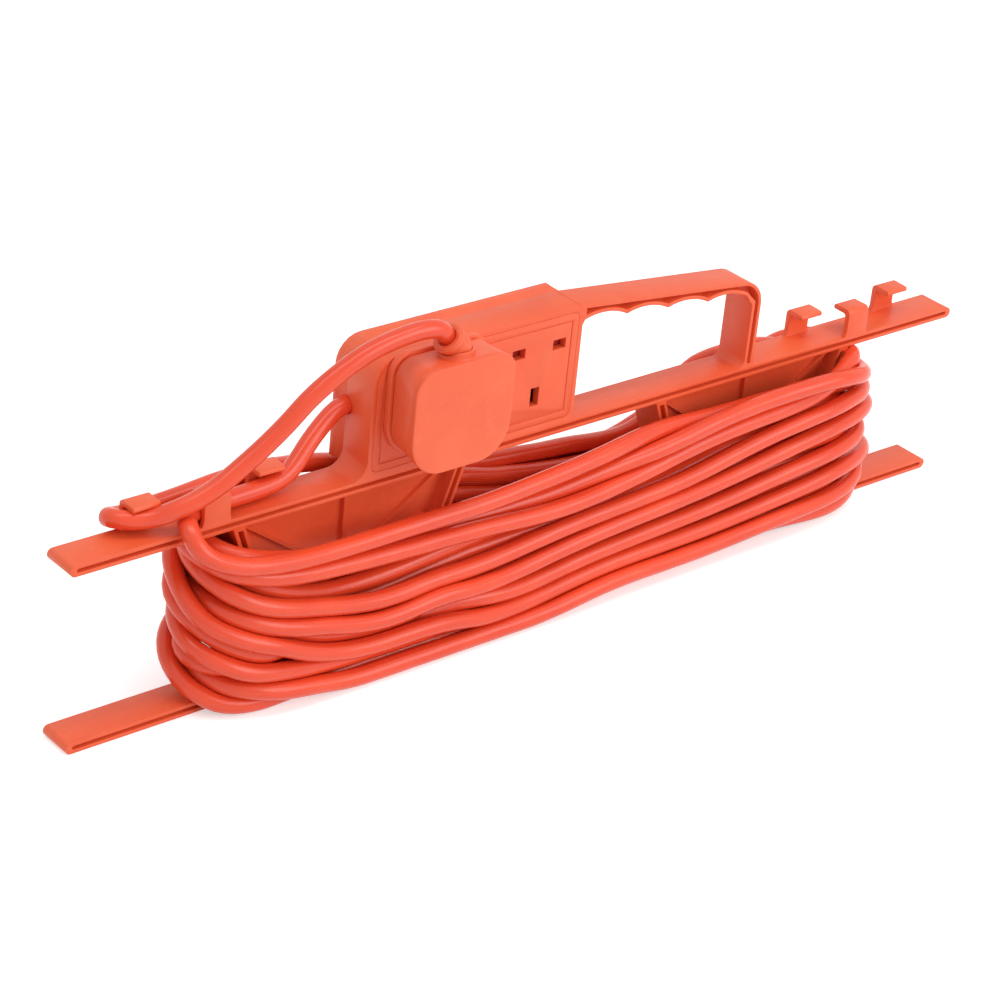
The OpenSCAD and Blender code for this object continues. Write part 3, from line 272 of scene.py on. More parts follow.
def ring_faces(count, sides):
    """Faces between rings of equally many points, with a lid on the first ring and on the last."""
    index = np.arange(count * sides).reshape(count, sides)
    a, b = index[:-1], np.roll(index[:-1], -1, axis=1)
    c, d = index[1:], np.roll(index[1:], -1, axis=1)
    walls = np.stack([a, b, d, c], -1).reshape(-1, 4).tolist()
    return walls + [index[0][::-1].tolist(), index[-1].tolist()]


# ---------------------------------------------------------------- cord

CORD_D = 8.0
FRAME_HALF = 8.5
# Lowest and highest place of each bar, and the middle of each leg with the side its waisted end is on
BARS = ((0, 5), (81, 86))
LEGS = ((-109.0, -1), (117.5, 1))
BARS_TOP = BARS[1][1]
# A leg is narrowest at its waist and widens evenly to the bars
LEG_HALF, LEG_FLARE, WAIST_Z, WAIST_TO_BAR = 46.5, 13.5, 43, 38
# How a place holds the cord: FIXED it can't leave, FIRM it leaves only for what is in its way, LOOSE is
# little more than a hint
FIXED, FIRM, LOOSE = 2.0, 1.0, 0.05
# Socket end: out of the box, over the top bar, through two hooks and down to the first turn
SOCKET_ROUTE = [
    (-93.5, 8.5, 113.3), (-104, 8.5, 113.3), (-109, 8.2, 111.9), (-116.5, 7, 107.2), (-123, 5.4, 102.6),
    (-129, 3.8, 97.4), (-135, 2.3, 93.2), (-142, 1.2, 91.2), (-151, 0.4, 90.6), (-163, 0, 90.5),
    (-175, -0.4, 90.4), (-184, -1.8, 90.4), (-188.9, -4.9, 90.5), (-191.8, -9, 90.6), (-193.4, -13, 89.6),
    (-193.6, -16.2, 87), (-192.9, -18.4, 84.4), (-190.6, -20.2, 81.6), (-186.6, -21.6, 78.5),
    (-181.2, -22.6, 75.9)]
# Plug end: along the back, round the outer hook and up to the plug
PLUG_ROUTE = [
    (138, 15.4, 80.2), (124, 15, 81.3), (112, 15, 81.2), (102, 15, 79.6), (95, 15.2, 75.5), (89, 15.8, 69),
    (83.5, 16.6, 62), (77, 17.5, 56), (69, 18.3, 52.6), (60, 18.8, 51.4), (50, 19, 52), (34.3, 19, 54.1),
    (16.7, 19, 55.6), (0.4, 19, 57.4), (-14, 19.3, 58.6), (-30, 20.2, 61), (-50, 21.4, 65), (-70, 22, 70.4),
    (-90, 21.9, 76.8), (-110, 20.6, 82.6), (-126, 18.6, 86.2), (-142, 16.2, 89.4), (-160, 14, 90.6),
    (-172, 13.1, 90.3), (-181, 13, 89.6), (-190.5, 13, 89), (-199.3, 13, 88.6), (-205.5, 13, 88.5),
    (-211.2, 12.9, 89), (-215, 11.4, 90.5), (-217.2, 8.9, 92.1), (-217.9, 6, 93.3), (-216.3, 3.4, 93.5),
    (-212.6, 1.6, 92.8), (-206.9, -0.5, 92.5), (-201, -3.5, 94), (-195.8, -7, 97), (-189.7, -9.5, 99.9),
    (-183.1, -11, 103.3), (-177.6, -12, 106.6), (-170, -12.5, 111.4), (-160.8, -13.2, 117.6),
    (-151.4, -14, 125), (-140.2, -15.2, 135.4), (-127, -16.2, 144.2), (-113.4, -17.2, 150.6),
    (-99.5, -18.2, 154), (-88, -18.9, 155), (-80.1, -19.45, 153.8), (-76, -19.45, 149.47)]
# Front runs of the turns in the order in which they were wound, from left to right: x, y, z and, where that
# isn't FIRM, how the place holds the cord. The first seven lie outside, the others under them.
OUTER_RUNS = 7
FRONT_RUNS = [
    [(-171.4, -23.4, 72), (-159.7, -23.3, 69.1), (-143.5, -23, 68), (-122.4, -22.5, 66.7),
     (-103, -22.2, 66.6), (-83.8, -22, 66.8), (-62.6, -22, 66.6), (-41, -22, 66.9), (-18.8, -21.5, 69),
     (3.9, -21, 70), (27.6, -19.8, 72.3), (52.5, -18, 72.6), (78.6, -16, 70.6, 0.6),
     (118.1, -13.5, 69.1, 0.2), (152, -13.4, 69.8, 0.1), (166, -13, 70.6, 0.1)],
    [(-175.8, -11, 74.3, 0.6), (-169.6, -15, 69, 0.4), (-159.9, -17, 63, 0.7), (-143.1, -20, 60),
     (-123.9, -21.5, 58), (-103.7, -22, 57.1), (-82.8, -22, 56), (-61.4, -22, 55.5), (-39.6, -22, 54.6),
     (-17.2, -22, 52.8), (5.2, -22, 54), (27.9, -22, 56.7), (50.6, -22.3, 59.7), (73.9, -22.3, 63.6),
     (97.9, -22.3, 66), (122.4, -22.3, 67.9), (148.1, -21.5, 70.3), (162.7, -19.5, 72),
     (175.5, -15, 72.6, 0.8)],
    [(-179.1, -7, 62.7, 0.8), (-176.6, -12, 58.9), (-172.2, -16.5, 55.3), (-166.2, -20, 52),
     (-153.5, -22, 46.9), (-133.9, -23, 41.4), (-113.5, -23.5, 37.9), (-92.5, -23.5, 35.4),
     (-70.9, -23, 35.8), (-49, -22.5, 37.1), (-26.8, -22, 39.3), (-4.6, -22, 41.9), (18.1, -22, 43.5),
     (41.4, -22, 44.1), (64.9, -22, 46.2), (88.6, -22, 50.1), (112.5, -22, 55), (137.3, -22, 57.6),
     (163.8, -20.5, 61.1), (182.2, -14, 60.7), (191.5, -7, 59, 0.6)],
    [(-174.2, -11.5, 49.2, 0.7), (-167.4, -17.5, 44.6), (-152.9, -22, 37.7), (-133.9, -24, 32.4),
     (-113.4, -24.5, 27.6), (-92.4, -24.5, 26), (-70.6, -24, 25), (-48.6, -23.5, 26.7), (-26.4, -23, 29.1),
     (-4.2, -23, 32.3), (18, -23.5, 35), (40.8, -23.8, 37.6), (64.8, -23.5, 38.6), (89.8, -22.5, 40),
     (114.3, -22.3, 43.1), (139.3, -22, 46.8), (165.5, -21, 50), (186, -15, 50.3), (195.8, -7, 47.9, 0.6)],
    [(-181.6, 12, 60.9, 0.8), (-184, 5, 53.5), (-184, -2.5, 48.9), (-181.3, -9.5, 43.7), (-175.8, -16, 38.9),
     (-167.1, -21.5, 33.9), (-153.7, -24, 28.1), (-134.2, -25.5, 21.8), (-113.7, -26, 18.1),
     (-92.5, -25.8, 16.2), (-70.4, -25.2, 13.5), (-47.7, -24.5, 10.6), (-24.6, -23.5, 10.8),
     (-1.3, -22.5, 13.4), (22, -22, 15.7), (45.5, -22, 16.3), (69.5, -22, 16.9), (94, -22, 17.8),
     (118.8, -22, 19.8), (143.9, -22, 22.1), (170.8, -20.5, 26.1), (189.4, -14.5, 25.8),
     (198.7, -7, 23.7, 0.6)],
    [(-181.7, 12, 23.3), (-184.1, 4, 21.1), (-182.8, -3, 18.2), (-179.8, -9.5, 15.9), (-175.1, -17, 15.1),
     (-166.6, -22.5, 13.4), (-153.5, -25.5, 10), (-133.3, -26, 5.2), (-112.3, -26, 1), (-91, -26, -0.9),
     (-69.5, -26, -0.8), (-47.7, -26, -0.4), (-25.6, -26, 1.8), (-3.2, -26, 5.1), (19.9, -25.5, 8.4),
     (44, -25, 8.5), (68.6, -24.5, 8.3), (93.6, -24, 8.9), (119, -23.5, 10.2), (145, -23, 11.4),
     (159.2, -21.5, 12.6), (178.9, -16.5, 11.9), (194.4, -8, 10.2, 0.6)],
    [(-173.6, 20, 28.6, 0.6), (-182, 14, 24.7), (-184.4, 11, 22.3), (-186.1, 7, 18.7), (-186.7, 2, 16.3),
     (-186.3, -2, 14), (-184, -8, 12.2), (-180.1, -12.5, 10.8), (-176, -16.5, 9.8), (-170.6, -21.5, 10.3),
     (-158.3, -22, 6.1), (-140.2, -19.5, 5.5, 0.3), (-105.8, -18.6, 4.4, 0.3), (-62.7, -18.6, 4.4, 0.3),
     (-18.3, -18.7, 4.4, 0.3), (27.4, -18.7, 4.4, 0.3), (74.6, -18.8, 4.4, 0.3), (110.8, -19.5, 6, 0.3),
     (135.5, -20, 8.4, 0.8), (148.8, -20, 6.3), (163.8, -18.5, 4.1), (180.4, -14, 3.3), (194, -6, 1.8, 0.6)],
    [(-187.5, -4, 20.2, 0.1), (-184.1, -12, 17.7, 0.1), (-166.9, -15.5, 18.3, 0.8),
     (-152.3, -16.4, 12.9, 0.1), (-137.1, -14.6, 9.6, 0.1), (-116.5, -13, 8.6, 0.1), (-95.7, -13, 8.6, 0.1),
     (-72.8, -13, 8.6, 0.1), (-38.1, -12.9, 8.6, 0.1), (7.1, -12.9, 9.3, 0.1), (54, -12.9, 10.4, 0.1),
     (102.7, -13, 12.6, 0.1), (153.6, -13.1, 14.8, 0.1), (178.2, -12, 17.5, 0.1)],
    [(-182.3, 14, 43.7, 0.7), (-184.5, 9, 38.9), (-185.1, 2, 35.2), (-183.1, -6, 31.7),
     (-177.6, -12.5, 27.7), (-168.6, -17.5, 24.2), (-154.8, -19.5, 19), (-139.4, -19.8, 13.6),
     (-118.4, -20, 11.8, 0.4), (-96.9, -20.2, 11.4, 0.3), (-78, -19.6, 11.4, 0.3), (-60, -17.5, 10.8, 0.2),
     (-42, -14.5, 13, 0.2), (-16.2, -12.9, 16.8, 0.1), (29.6, -12.9, 18, 0.1), (77.2, -12.9, 19.6, 0.1),
     (126.8, -13, 21.6, 0.1), (165, -13.3, 23.9, 0.1), (180.4, -12, 26.5, 0.1)],
    [(-181.4, 15, 59.3, 0.6), (-182.6, 11, 47.7, 0.8), (-183.1, 2, 42.1), (-180, -8, 37.9),
     (-172.6, -14, 32.1, 0.5), (-157.5, -16.4, 27, 0.1), (-137.8, -14, 25.6, 0.1), (-106.1, -13, 25.2, 0.1),
     (-73, -13, 25.2, 0.1), (-28.5, -12.9, 25.2, 0.1), (16.6, -12.9, 26.4, 0.1), (63.5, -12.9, 28.6, 0.1),
     (112.2, -13.4, 31.6, 0.1), (156.4, -13.4, 34.5, 0.1), (182.2, -12, 37.7, 0.1)],
    [(-183.5, -6, 48.2, 0.1), (-178.3, -12.5, 40.7, 0.1), (-165.1, -15, 35, 0.1), (-142.7, -14.5, 24, 0.1),
     (-116.9, -13, 18.5, 0.1), (-85.1, -13, 18.5, 0.1), (-62, -16.5, 19.2, 0.2), (-44.6, -20.4, 17, 0.8),
     (-23.8, -21.5, 18.3), (-2.1, -22, 22.5), (20.8, -22, 24.2), (44.1, -22, 25.6), (67.9, -22, 27.1),
     (92.2, -22, 28.6), (116.7, -22, 31.3), (141.6, -22, 34.5), (168.5, -20.5, 37.8), (182.1, -15, 39.6),
     (191.8, -7, 37.8, 0.6)],
    [(-179.3, -6, 50.7, 0.1), (-173.8, -12.5, 46.7, 0.1), (-156.8, -15, 35.9, 0.1), (-125.9, -18, 26, 0.1),
     (-94.2, -19.4, 21.7, 0.1), (-61.9, -18.8, 21.8, 0.1), (-29.6, -15, 29.5, 0.1), (15.5, -13, 33.8, 0.1),
     (62.1, -13.4, 36.9, 0.1), (110.7, -13.4, 40.2, 0.1), (154.8, -13.4, 43.3, 0.1),
     (181.6, -12, 47.4, 0.1)],
    [(-178.1, -6, 55.9, 0.1), (-171.7, -12.5, 51.7, 0.1), (-147.1, -13.4, 43.3, 0.1),
     (-116.1, -13.4, 35.4, 0.2), (-95.1, -13.4, 34, 0.8), (-84.9, -13.6, 35.9), (-74.8, -14, 38),
     (-64.6, -14.5, 40.1), (-54.3, -15, 41.3), (-43.4, -15, 41.6), (-32.2, -14.8, 41.8, 0.8),
     (2.3, -14, 41, 0.6), (25.3, -14, 41.7), (48.5, -14, 43.9), (72.3, -14, 45.6), (95.8, -14, 51.1),
     (108, -14, 52.5, 0.8), (139.6, -13.4, 55.5, 0.1), (165, -13.2, 56.5, 0.1), (179.8, -11, 57.5, 0.1)],
    [(-175.3, -6, 58.8, 0.1), (-166.9, -12.5, 54, 0.1), (-152.3, -13.3, 47.2, 0.3),
     (-137.1, -13.4, 43.2, 0.9), (-116.5, -13.4, 41.3), (-95.7, -13.4, 40.9), (-74.8, -13.4, 43),
     (-64.1, -13.4, 43.3), (-42.5, -13.3, 45.9, 0.3), (1.9, -13.3, 48.8, 0.1), (47.7, -13.3, 53.8, 0.1),
     (95.1, -13.3, 59.6, 0.1), (144.6, -13.3, 62.2, 0.1), (176, -11, 64.8, 0.1)],
    [(-177.4, -8, 71.4, 0.1), (-168.1, -13.2, 64.9, 0.1), (-148.2, -13.3, 61, 0.1),
     (-117.9, -13.3, 58.7, 0.1), (-86.6, -13.3, 56.4, 0.1), (-54.8, -13.6, 56.3, 0.2),
     (-22.8, -15, 54.9, 0.9), (-2.3, -17, 57.1), (18.8, -18.5, 60.5), (40.2, -20, 64.4), (62.2, -21, 69),
     (84.9, -22, 72.2), (108.8, -22.3, 74.3), (133.8, -22.3, 74.7), (154.8, -20.5, 73.8),
     (170.1, -15.5, 74.1), (181.3, -8, 71.8, 0.7)],
]
# Places along the back through which a turn sags
BACK_X = (150, 90, 30, -30, -90, -145)


def leg_flare(z):
    """How much further a leg reaches to each side at a height than at its waist."""
    return LEG_FLARE * abs(z - WAIST_Z) / WAIST_TO_BAR


def winding_route():
    """Rough line of the whole cord: x, y, z and hold."""
    draw = np.random.default_rng(5)
    right_end, outer_left, inner_left = 168.8, -184, -177
    outer_back, bulge, inner_back = 21.9, 2.2, 13.3
    lowest, slack = 4.3, 0.42
    rows = [(*p, FIXED) for p in SOCKET_ROUTE]
    for turn, run in enumerate(FRONT_RUNS):
        rows += [(*p, FIRM) if len(p) == 3 else p for p in run]
        outer = turn < OUTER_RUNS
        # Round the right leg's end
        x, y, z = run[-1][:3]
        x = max(x, right_end + leg_flare(z))
        if y < -9:
            rows.append((x + 2, -5, z - 0.5, LOOSE))
        rows += [(x + 3, 4, z - 1.5, LOOSE), (x - 3, 17 if outer else 12, z - 3, LOOSE)]
        if turn == len(FRONT_RUNS) - 1:
            rows.append((160, 15, 76, 0.3))
            continue
        # Along the back from right to left, sagging most before the middle
        next_y, next_z = FRONT_RUNS[turn + 1][0][1:3]
        start_z = min(72, max(9, z - 4))
        end_z = min(74, max(9, next_z + (3 if next_y > 0 else 5)))
        waver = draw.uniform(-1.2, 1.2, len(BACK_X))
        for back_x, shift in zip(BACK_X, waver):
            t = (BACK_X[0] - back_x) / (BACK_X[0] - BACK_X[-1])
            sag = math.sin(math.pi * t ** 0.75)
            height = start_z + (end_z - start_z) * t
            height = lowest + (height - lowest) * (1 - slack * sag) + shift
            back_y = outer_back + bulge * sag if outer else inner_back
            rows.append((back_x, back_y, max(height, 5), LOOSE))
        # Round the left leg's end to where the next run starts
        left_x = outer_left if outer else inner_left
        if next_y < 8:
            rows.append((left_x + 6, 13, min(75, end_z), LOOSE))
        if next_y < 0:
            rows.append((left_x - 1, 3, min(75, (end_z + next_z) / 2 + 1), LOOSE))
    return np.array(rows + [(*p, FIXED) for p in PLUG_ROUTE], float)


def smooth_line(rows, step):
    """Centripetal Catmull-Rom line through the rows, with its points a step apart."""
    fine_points = 14
    p = np.vstack([2 * rows[0] - rows[1], rows, 2 * rows[-1] - rows[-2]])
    fine = []
    for a, b, c, d in zip(p[:-3], p[1:-2], p[2:-1], p[3:]):
        t0 = 0.0
        t1, t2, t3 = np.cumsum([max(1e-6, np.linalg.norm(v[:3] - u[:3])) ** 0.5
                                for u, v in ((a, b), (b, c), (c, d))])
        t = np.linspace(t1, t2, fine_points, endpoint=False)[:, None]
        a1 = (t1 - t) / (t1 - t0) * a + (t - t0) / (t1 - t0) * b
        a2 = (t2 - t) / (t2 - t1) * b + (t - t1) / (t2 - t1) * c
        a3 = (t3 - t) / (t3 - t2) * c + (t - t2) / (t3 - t2) * d
        b1 = (t2 - t) / (t2 - t0) * a1 + (t - t0) / (t2 - t0) * a2
        b2 = (t3 - t) / (t3 - t1) * a2 + (t - t1) / (t3 - t1) * a3
        fine.append((t2 - t) / (t2 - t1) * b1 + (t - t1) / (t2 - t1) * b2)
    return resample(np.vstack([*fine, p[-2][None]]), step)


def resample(line, step):
    """The same line with its points evenly spaced, about a step apart."""
    lengths = np.concatenate([[0], np.cumsum(np.linalg.norm(np.diff(line[:, :3], axis=0), axis=1))])
    at = np.linspace(0, lengths[-1], int(round(lengths[-1] / step)) + 1)
    return np.stack([np.interp(at, lengths, line[:, i]) for i in range(line.shape[1])], 1)


def keep_clear(p, free, target):
    """Pushes the cord out of the floor, the bars and the legs, and keeps it inside the model's box."""
    reach = 4.25
    slab = FRAME_HALF + reach
    front_limit, back_limit, same_side_within = -26.2, 25.0, 150
    p[free, 2] = np.maximum(p[free, 2], reach)
    p[free, 1] = np.clip(p[free, 1], front_limit, back_limit)
    for low, high in BARS:
        m = free & (np.abs(p[:, 1]) < slab) & (p[:, 2] > low - reach) & (p[:, 2] < high + reach)
        up, down = high + reach - p[m, 2], p[m, 2] - (low - reach)
        rise = up if low == 0 else -down
        side = slab - np.abs(p[m, 1]) < np.abs(rise)
        p[m, 1] = np.where(side, np.sign(p[m, 1]) * slab, p[m, 1])
        p[m, 2] = np.where(side, p[m, 2], p[m, 2] + rise)
    for middle, outward in LEGS:
        half = LEG_HALF + leg_flare(p[:, 2]) + reach
        away = p[:, 0] - middle
        m = free & (np.abs(p[:, 1]) < slab) & (np.abs(away) < half) & (p[:, 2] < BARS_TOP)
        past_end = (half[m] - np.abs(away[m]) < slab - np.abs(p[m, 1])) & (np.sign(away[m]) == outward)
        p[m, 0] = np.where(past_end, middle + outward * half[m], p[m, 0])
        p[m, 1] = np.where(past_end, p[m, 1], np.sign(p[m, 1]) * slab)
    # Short of the legs' outer ends a strand stays on the side of the frame where it was laid
    m = free & (np.abs(p[:, 0]) < same_side_within) & (np.abs(p[:, 1]) < slab) & (p[:, 2] < BARS_TOP)
    p[m, 1] = np.where(target[m, 1] < 0, -slab, slab)


def wound(line, sight):
    """Lets the wound cord find its own place: as long as it was, smoothly bent, a diameter from itself.

    Held places keep their position across the line of sight more firmly than along it, and all let go
    slowly. Its stiffness works on points two steps apart first, which takes out the longer waves.
    """
    rounds, pull_across, pull_along, let_go = 260, 0.16, 0.03, 0.8
    spans, stiffness = (2, 2, 2, 1, 1, 1, 1, 1, 1), 0.24
    gap, pairs_last, pair_margin = CORD_D + 0.15, 12, 5
    p, target, hold = line[:, :3].copy(), line[:, :3].copy(), line[:, 3]
    count = len(p)
    steps = np.linalg.norm(np.diff(p, axis=0), axis=1)
    # Next to a fixed place the hold falls off along the cord, which is free from halfway down
    free = hold < (FIRM + FIXED) / 2
    weight = free.astype(float)[:, None]
    firm = np.clip(hold, 0, 1)[:, None]
    for turn in range(rounds):
        off = target - p
        deep = (off @ sight)[:, None] * sight
        pull = pull_across * (off - deep) + pull_along * deep
        p += weight * firm * pull * (1 - let_go * turn / rounds)
        for span in spans:
            bend = np.zeros_like(p)
            bend[span:-span] = (p[:-2 * span] + p[2 * span:]) / 2 - p[span:-span]
            stiff = np.zeros_like(p)
            stiff[span:-span] = (bend[:-2 * span] + bend[2 * span:]) / 2 - bend[span:-span]
            p -= weight * stiffness * stiff
        # Every other step gets its length back, then those between
        for first in (0, 1, 0, 1):
            i = np.arange(first, count - 1, 2)
            way = p[i + 1] - p[i]
            length = np.linalg.norm(way, axis=1)
            shift = ((length - steps[i]) / length)[:, None] * way
            share = np.maximum(weight[i] + weight[i + 1], 1e-9)
            p[i] += shift * weight[i] / share
            p[i + 1] -= shift * weight[i + 1] / share
        if turn % pairs_last == 0:
            one, two = neighbours(p, gap + pair_margin)
        for _ in range(3):
            part_strands(p, one, two, gap, weight)
            keep_clear(p, free, target)
    return p


def neighbours(p, reach):
    """Pairs of points within reach of each other that aren't beside each other along the cord."""
    apart, at_once = 10, 500
    q = p.astype(np.float32)
    ones, twos = [], []
    for start in range(0, len(q), at_once):
        near = ((q[start:start + at_once, None] - q[None]) ** 2).sum(-1) < reach * reach
        a, b = np.nonzero(near)
        keep = b - (a + start) > apart
        ones.append(a[keep] + start)
        twos.append(b[keep])
    return np.concatenate(ones), np.concatenate(twos)


def part_strands(p, one, two, gap, weight):
    """Moves the points of each pair that is closer than the gap apart, most of the way."""
    moved_share = 0.9
    way = p[two] - p[one]
    length = np.linalg.norm(way, axis=1) + 1e-9
    close = length < gap
    a, b = one[close], two[close]
    shift = ((gap - length[close]) / length[close])[:, None] * way[close]
    share = np.maximum(weight[a] + weight[b], 1e-9)
    moved, hits = np.zeros_like(p), np.zeros(len(p))
    np.add.at(moved, a, -shift * weight[a] / share)
    np.add.at(moved, b, shift * weight[b] / share)
    np.add.at(hits, a, 1)
    np.add.at(hits, b, 1)
    p += moved / np.maximum(1, hits / 2)[:, None] * moved_share


def tube(points, diameter, sides, name):
    """Round tube along a line of points, as a mesh in metres, with a UV map in metres along and round it."""
    # The three twisted cores show through the sheath as a very shallow lobed twist
    cores, lobe_height, twist_length = 3, 0.006, 0.075
    p = np.array(points) * MM
    ways = np.gradient(p, axis=0)
    ways /= np.linalg.norm(ways, axis=1)[:, None]
    # A direction across the cord is carried along it without turning round it
    normal = np.array((0.02, 0.03, 1.0))
    normals = []
    for way in ways:
        normal = normal - normal.dot(way) * way
        normal /= np.linalg.norm(normal)
        normals.append(normal)
    normals = np.array(normals)
    across = np.cross(ways, normals)
    along = np.concatenate([[0], np.cumsum(np.linalg.norm(np.diff(p, axis=0), axis=1))])
    turn = np.arange(sides) / sides * 2 * np.pi
    lobes = 1 + lobe_height * np.cos(cores * (turn[None] - along[:, None] / twist_length * 2 * np.pi))
    radius = diameter * MM / 2 * lobes
    rings = p[:, None] + radius[..., None] * (np.cos(turn)[None, :, None] * normals[:, None]
                                              + np.sin(turn)[None, :, None] * across[:, None])
    mesh = bpy.data.meshes.new(name)
    mesh.from_pydata(rings.reshape(-1, 3).tolist(), [], ring_faces(len(p), sides))
    girth = diameter * MM * np.pi
    uv = []
    for u0, u1 in zip(along[:-1], along[1:]):
        for side in range(sides):
            v0, v1 = girth * side / sides, girth * (side + 1) / sides
            uv += [u0, v0, u0, v1, u1, v1, u1, v0]
    # The two lids have a corner for each side
    uv += [0.0] * (2 * 2 * sides)
    mesh.uv_layers.new(name="along").data.foreach_set("uv", uv)
    mesh.shade_smooth()
    return mesh


# The line is settled with points 4 mm apart and drawn with points 3.6 mm apart
sight = np.array(bpy.context.scene.camera.matrix_world.col[2][:3])
laid = wound(smooth_line(winding_route(), 4.0), sight)
cord_line = resample(laid, 3.6)
cord = as_object(tube(cord_line, CORD_D, 20, "mains_cord"), "mains_cord")
cord.data.materials.append(sheath)
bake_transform(cord)
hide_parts("socket_lead", "cord_winding", "plug_lead")


# ---------------------------------------------------------------- moulded pieces

def rounded_ring(y, left, right, low, high, radii, inset=0.0, corner_points=12):
    """Rounded rectangle in a plane across Y. Radii run from the lower left corner anticlockwise."""
    centres = ((left + radii[0], low + radii[0]), (right - radii[1], low + radii[1]),
               (right - radii[2], high - radii[2]), (left + radii[3], high - radii[3]))
    inward = ((1, 1), (-1, 1), (-1, -1), (1, -1))
    points = []
    for corner, ((x, z), (side_x, side_z), radius) in enumerate(zip(centres, inward, radii)):
        reach = max(radius - inset, 0.05)
        drawn_in = max(inset - radius, 0)
        for turn in np.radians(np.linspace(180, 270, corner_points) + 90 * corner):
            points.append((x + side_x * drawn_in + reach * math.cos(turn), y,
                           z + side_z * drawn_in + reach * math.sin(turn)))
    return points


def loft(rings, name):
    """Closed solid through rings of equally many points, in millimetres, as a mesh in metres."""
    rings = np.array(rings) * MM
    mesh = bpy.data.meshes.new(name)
    mesh.from_pydata(rings.reshape(-1, 3).tolist(), [], ring_faces(*rings.shape[:2]))
    work = bmesh.new()
    work.from_mesh(mesh)
    bmesh.ops.recalc_face_normals(work, faces=work.faces)
    work.to_mesh(mesh)
    work.free()
    return mesh


def rod(points, diameters, name):
    """Round bar through points with a diameter at each, square to its own line."""
    sides = 40
    p, rings = np.array(points, float), []
    ways = np.gradient(p, axis=0)
    for place, way, diameter in zip(p, ways, diameters):
        way = way / np.linalg.norm(way)
        one = np.cross(way, (0, 1, 0))
        one /= np.linalg.norm(one)
        two = np.cross(way, one)
        turn = np.arange(sides) / sides * 2 * math.pi
        rings.append(place + diameter / 2 * (np.cos(turn)[:, None] * one + np.sin(turn)[:, None] * two))
    return loft(rings, name)


def block(low, high, name):
    """Box between two corners."""
    (x0, y0, z0), (x1, y1, z1) = low, high
    return loft([[(x0, y, z0), (x1, y, z0), (x1, y, z1), (x0, y, z1)] for y in (y0, y1)], name)


def combine(piece, meshes, operation):
    """Adds meshes to a piece, cuts them out of it or keeps what is inside them, one after another."""
    for mesh in meshes:
        tool = as_object(mesh, "tool")
        modifier = piece.modifiers.new("join", "BOOLEAN")
        modifier.operation, modifier.solver, modifier.object = operation, "EXACT", tool
        settle(piece)
        bpy.data.objects.remove(tool)


def finish_piece(piece, node, body, sharp_angle=34):
    """Gives a piece its node's finish, lets it move with a body and lets it stand for the node."""
    piece.data.shade_smooth()
    piece.data.set_sharp_from_angle(angle=math.radians(sharp_angle))
    material, slot = FINISHES[node]
    dress(piece.data, material)
    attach(piece, body)
    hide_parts(node)
    return piece


def eased_copy(node, width_mm, body, walls=()):
    """A merged copy of a CAD node, with walls added, and its edges rounded as a mould leaves them."""
    merged_within, flat_within, edge_from = 2e-6, math.radians(0.8), math.radians(38)
    work = bmesh.new()
    work.from_mesh(NODES[node].data)
    bmesh.ops.remove_doubles(work, verts=work.verts, dist=merged_within)
    bmesh.ops.dissolve_limit(work, angle_limit=flat_within, verts=work.verts, edges=work.edges)
    mesh = bpy.data.meshes.new(node + "_moulded")
    work.to_mesh(mesh)
    work.free()
    piece = as_object(mesh, node + "_moulded")
    combine(piece, walls, "UNION")
    bevel = piece.modifiers.new("ease", "BEVEL")
    bevel.width = width_mm * MM
    bevel.segments = 2
    bevel.limit_method = "ANGLE"
    bevel.angle_limit = edge_from
    bevel.use_clamp_overlap = True
    bevel.harden_normals = False
    settle(piece)
    return finish_piece(piece, node, body)


def box_ring(y, inset):
    """Outline of the socket box: square to the carrier, with one rounded corner over the plug."""
    return rounded_ring(y, -103, 8, 86.3, 140, (0.3, 0.3, 0.3, 12), inset, 14)


def shell_wall():
    """Wall of the rear shell, as wide as the box, so that the two meet in a fine seam."""
    seam, thickness = 0.02, 1.7
    ring = as_object(loft([box_ring(y, seam) for y in (8.5, 15.2)], "shell_wall"), "shell_wall")
    combine(ring, [loft([box_ring(y, thickness) for y in (8.4, 15.3)], "shell_inside")], "DIFFERENCE")
    mesh = ring.data
    bpy.data.objects.remove(ring)
    return mesh


for node, walls in (("carrier_frame", ()), ("socket_front", ()), ("socket_back", (shell_wall(),))):
    eased_copy(node, 0.35, "carrier", walls)
guard = eased_copy("cord_guard", 0.3, "plug")


# ---------------------------------------------------------------- plug

PLUG_LEFT, PLUG_RIGHT, PLUG_LOW, PLUG_HIGH = -98.05, -46.55, 93.47, 143.47
PLUG_BASE, PLUG_MIDDLE = -8.7, -19.45
PLUG_RADII = (17.0, 16.0, 9.0, 10.5)
GANG_X = {1: -72.3, 2: -15.3}
GUARD_ROOT = np.array((-70.3, PLUG_MIDDLE, 143.47))
GUARD_MOUTH = np.array((-76.0, PLUG_MIDDLE, 149.47))
# Wall of the shell from the socket to the cover: place on Y and how far it's drawn in
SHELL_RINGS = (
    (-8.7, 1.8), (-8.85, 1.45), (-9.2, 1.25), (-11.2, 1.2), (-11.6, 1.32), (-11.8, 1.7), (-11.85, 3.5),
    (-12.4, 3.6), (-12.45, 2.95), (-12.65, 2.6), (-13.1, 2.45), (-15, 2.3), (-18, 1.95), (-21, 1.4),
    (-24, 0.75), (-26, 0.45), (-27.4, 0.45), (-28.2, 0.7), (-28.75, 1.25), (-28.8, 1.25), (-28.85, 0.4),
    (-29.0, 0.12), (-29.3, 0), (-29.75, 0.12), (-30.02, 0.42), (-30.1, 0.8), (-30.14, 2.5), (-30.18, 6),
    (-30.2, 9))
# The neck round the cord guard: height over the plug's top and diameter
NECK = ((-8, 15.2), (-3.2, 17.4), (-2.2, 15.9), (-1.4, 15.4), (0.5, 15.4), (0.8, 14.8))


